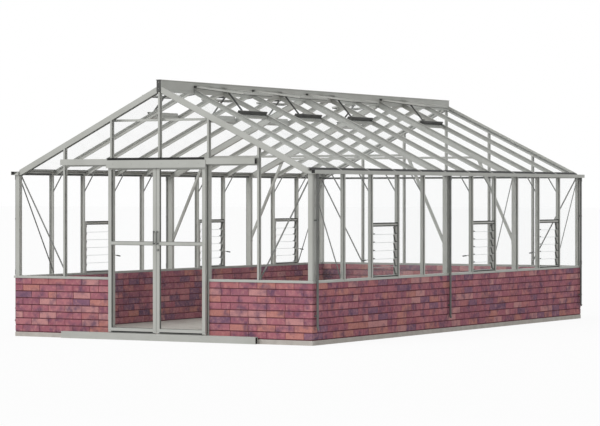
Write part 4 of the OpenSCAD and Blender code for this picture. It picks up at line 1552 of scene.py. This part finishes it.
@dataclass
class NodeFinishes:
    """Gives the CAD nodes that stay their finishes: satin aluminium, but for the nodes named here."""

    glass: tuple[str, ...] = ("left_wall_glass", "right_wall_glass", "left_roof_glass", "right_roof_glass",
                              "front_gable_glass", "rear_gable_glass", "louvre_blades", "vent_glass",
                              "left_door_glass", "right_door_glass")
    dark: tuple[str, ...] = ("vent_openers",)
    pipe: tuple[str, ...] = ("downpipes", "left_door_pull", "right_door_pull")
    # Eaves stays and wind braces: zinc darkened as painted shade
    zinc: tuple[str, ...] = ("eaves_stays", "wind_braces")
    concrete: tuple[str, ...] = ("floor_slab",)

    def build(self) -> None:
        """Assigns a material to every CAD node."""
        groups = ((self.glass, GLASS), (self.dark, DARK_PLASTIC_AND_SHADE), (self.pipe, PIPE), (self.zinc, ZINC_AND_SHADE),
                  (self.concrete, CONCRETE))
        finishes = {name: finish for names, finish in groups for name in names}
        for name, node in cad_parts.items():
            node.data.materials.clear()
            node.data.materials.append(finishes.get(name, ALUMINIUM).material())


@dataclass
class Studio:
    """A pale floor, a pale background and soft light."""

    floor_size: float = 600.0
    floor_drop: float = 0.001
    floor_colour: Colour = (0.75, 0.75, 0.75)
    floor_roughness: float = 0.9
    floor_glow: float = 0.93
    pale: float = 1.0
    ambient: float = 0.70
    key_strength: float = 1.24
    key_angle: float = math.radians(35)
    key_from: Point = (-0.45, -0.75, 0.62)
    # How many clear faces a ray may pass one after another
    panes_deep: int = 64

    def build(self) -> None:
        """Builds the floor, the world and the lamp."""
        self.build_floor()
        self.build_world()
        self.build_key()
        scene = bpy.context.scene
        scene.view_settings.view_transform = "Standard"
        scene.cycles.transparent_max_bounces = self.panes_deep

    def seen_share(self, graph: Graph) -> Socket:
        """Makes a value that is 1 for rays from the camera, off gloss and through glass.

        Args:
            graph: The tree that gets the nodes.

        Returns:
            The value's socket.
        """
        path = graph.node("ShaderNodeLightPath", {})
        share = path.outputs["Is Camera Ray"]
        for ray in ("Is Glossy Ray", "Is Transmission Ray"):
            inputs = {0: share, 1: path.outputs[ray]}
            share = graph.node("ShaderNodeMath", inputs, operation="MAXIMUM").outputs[0]
        return share

    def build_floor(self) -> None:
        """Builds a pale floor that keeps a faint shadow."""
        half = self.floor_size / 2
        mesh = bpy.data.meshes.new("studio_floor")
        mesh.from_pydata([(x * half, y * half, 0.0) for x, y in RING], [], [(0, 1, 2, 3)])
        floor = add("studio_floor", mesh)
        floor.location.z = -self.floor_drop
        material = bpy.data.materials.new("pale_floor")
        graph = Graph(material)
        graph.feed(graph.shader, {
            "Base Color": (*self.floor_colour, 1.0),
            "Roughness": self.floor_roughness,
            "Specular IOR Level": 0.0,
        })
        glow = graph.node("ShaderNodeEmission", {"Color": WHITE}).outputs["Emission"]
        inputs = {0: self.seen_share(graph), 1: self.floor_glow}
        share = graph.node("ShaderNodeMath", inputs, operation="MULTIPLY").outputs[0]
        graph.show("Material Output", share, graph.shader.outputs["BSDF"], glow)
        mesh.materials.append(material)

    def build_world(self) -> None:
        """Builds the even light from all round, with a pale background."""
        world = bpy.data.worlds.new("studio_world")
        graph = Graph(world)
        graph.feed(graph.shader, {"Color": WHITE, "Strength": self.ambient})
        seen = graph.node("ShaderNodeBackground", {"Color": WHITE, "Strength": self.pale})
        graph.show("World Output", self.seen_share(graph), graph.shader.outputs["Background"],
                   seen.outputs["Background"])
        bpy.context.scene.world = world

    def build_key(self) -> None:
        """Builds the broad lamp in front on the left."""
        lamp = bpy.data.lights.new("key_lamp", "SUN")
        lamp.energy = self.key_strength
        lamp.angle = self.key_angle
        add("key_lamp", lamp).rotation_euler = Vector(self.key_from).to_track_quat("Z", "Y").to_euler()


@dataclass
class PhotoCamera:
    """The photograph's camera: level, far away and to the right of the doors."""

    station: Point = (15.047, -26.709, 1.558)
    azimuth: float = math.radians(29.779)
    lens: float = 153.69
    shift: float = -0.02772
    reach: float = 1000.0

    def build(self) -> None:
        """Builds the camera and makes it the scene's own."""
        data = bpy.data.cameras.new("photo_camera")
        data.sensor_fit = "HORIZONTAL"
        data.lens = self.lens
        data.shift_y = self.shift
        data.clip_end = self.reach
        camera = add("photo_camera", data)
        camera.location = self.station
        camera.rotation_euler = (math.pi / 2, 0.0, self.azimuth)
        bpy.context.scene.camera = camera


def main() -> None:
    """Builds every sub-assembly in order."""
    logging.basicConfig(level=logging.INFO, format="%(name)s %(message)s")
    PhotoCamera().build()
    Studio().build()
    plan = Plan()
    NodeFinishes().build()
    for assembly in (Brickwork, Cappings, RoofEdges, LouvreFittings, VentFittings, FrameBolts, DoorFittings,
                     SillCorners):
        assembly(plan).build()


if __name__ == "__main__":
    main()
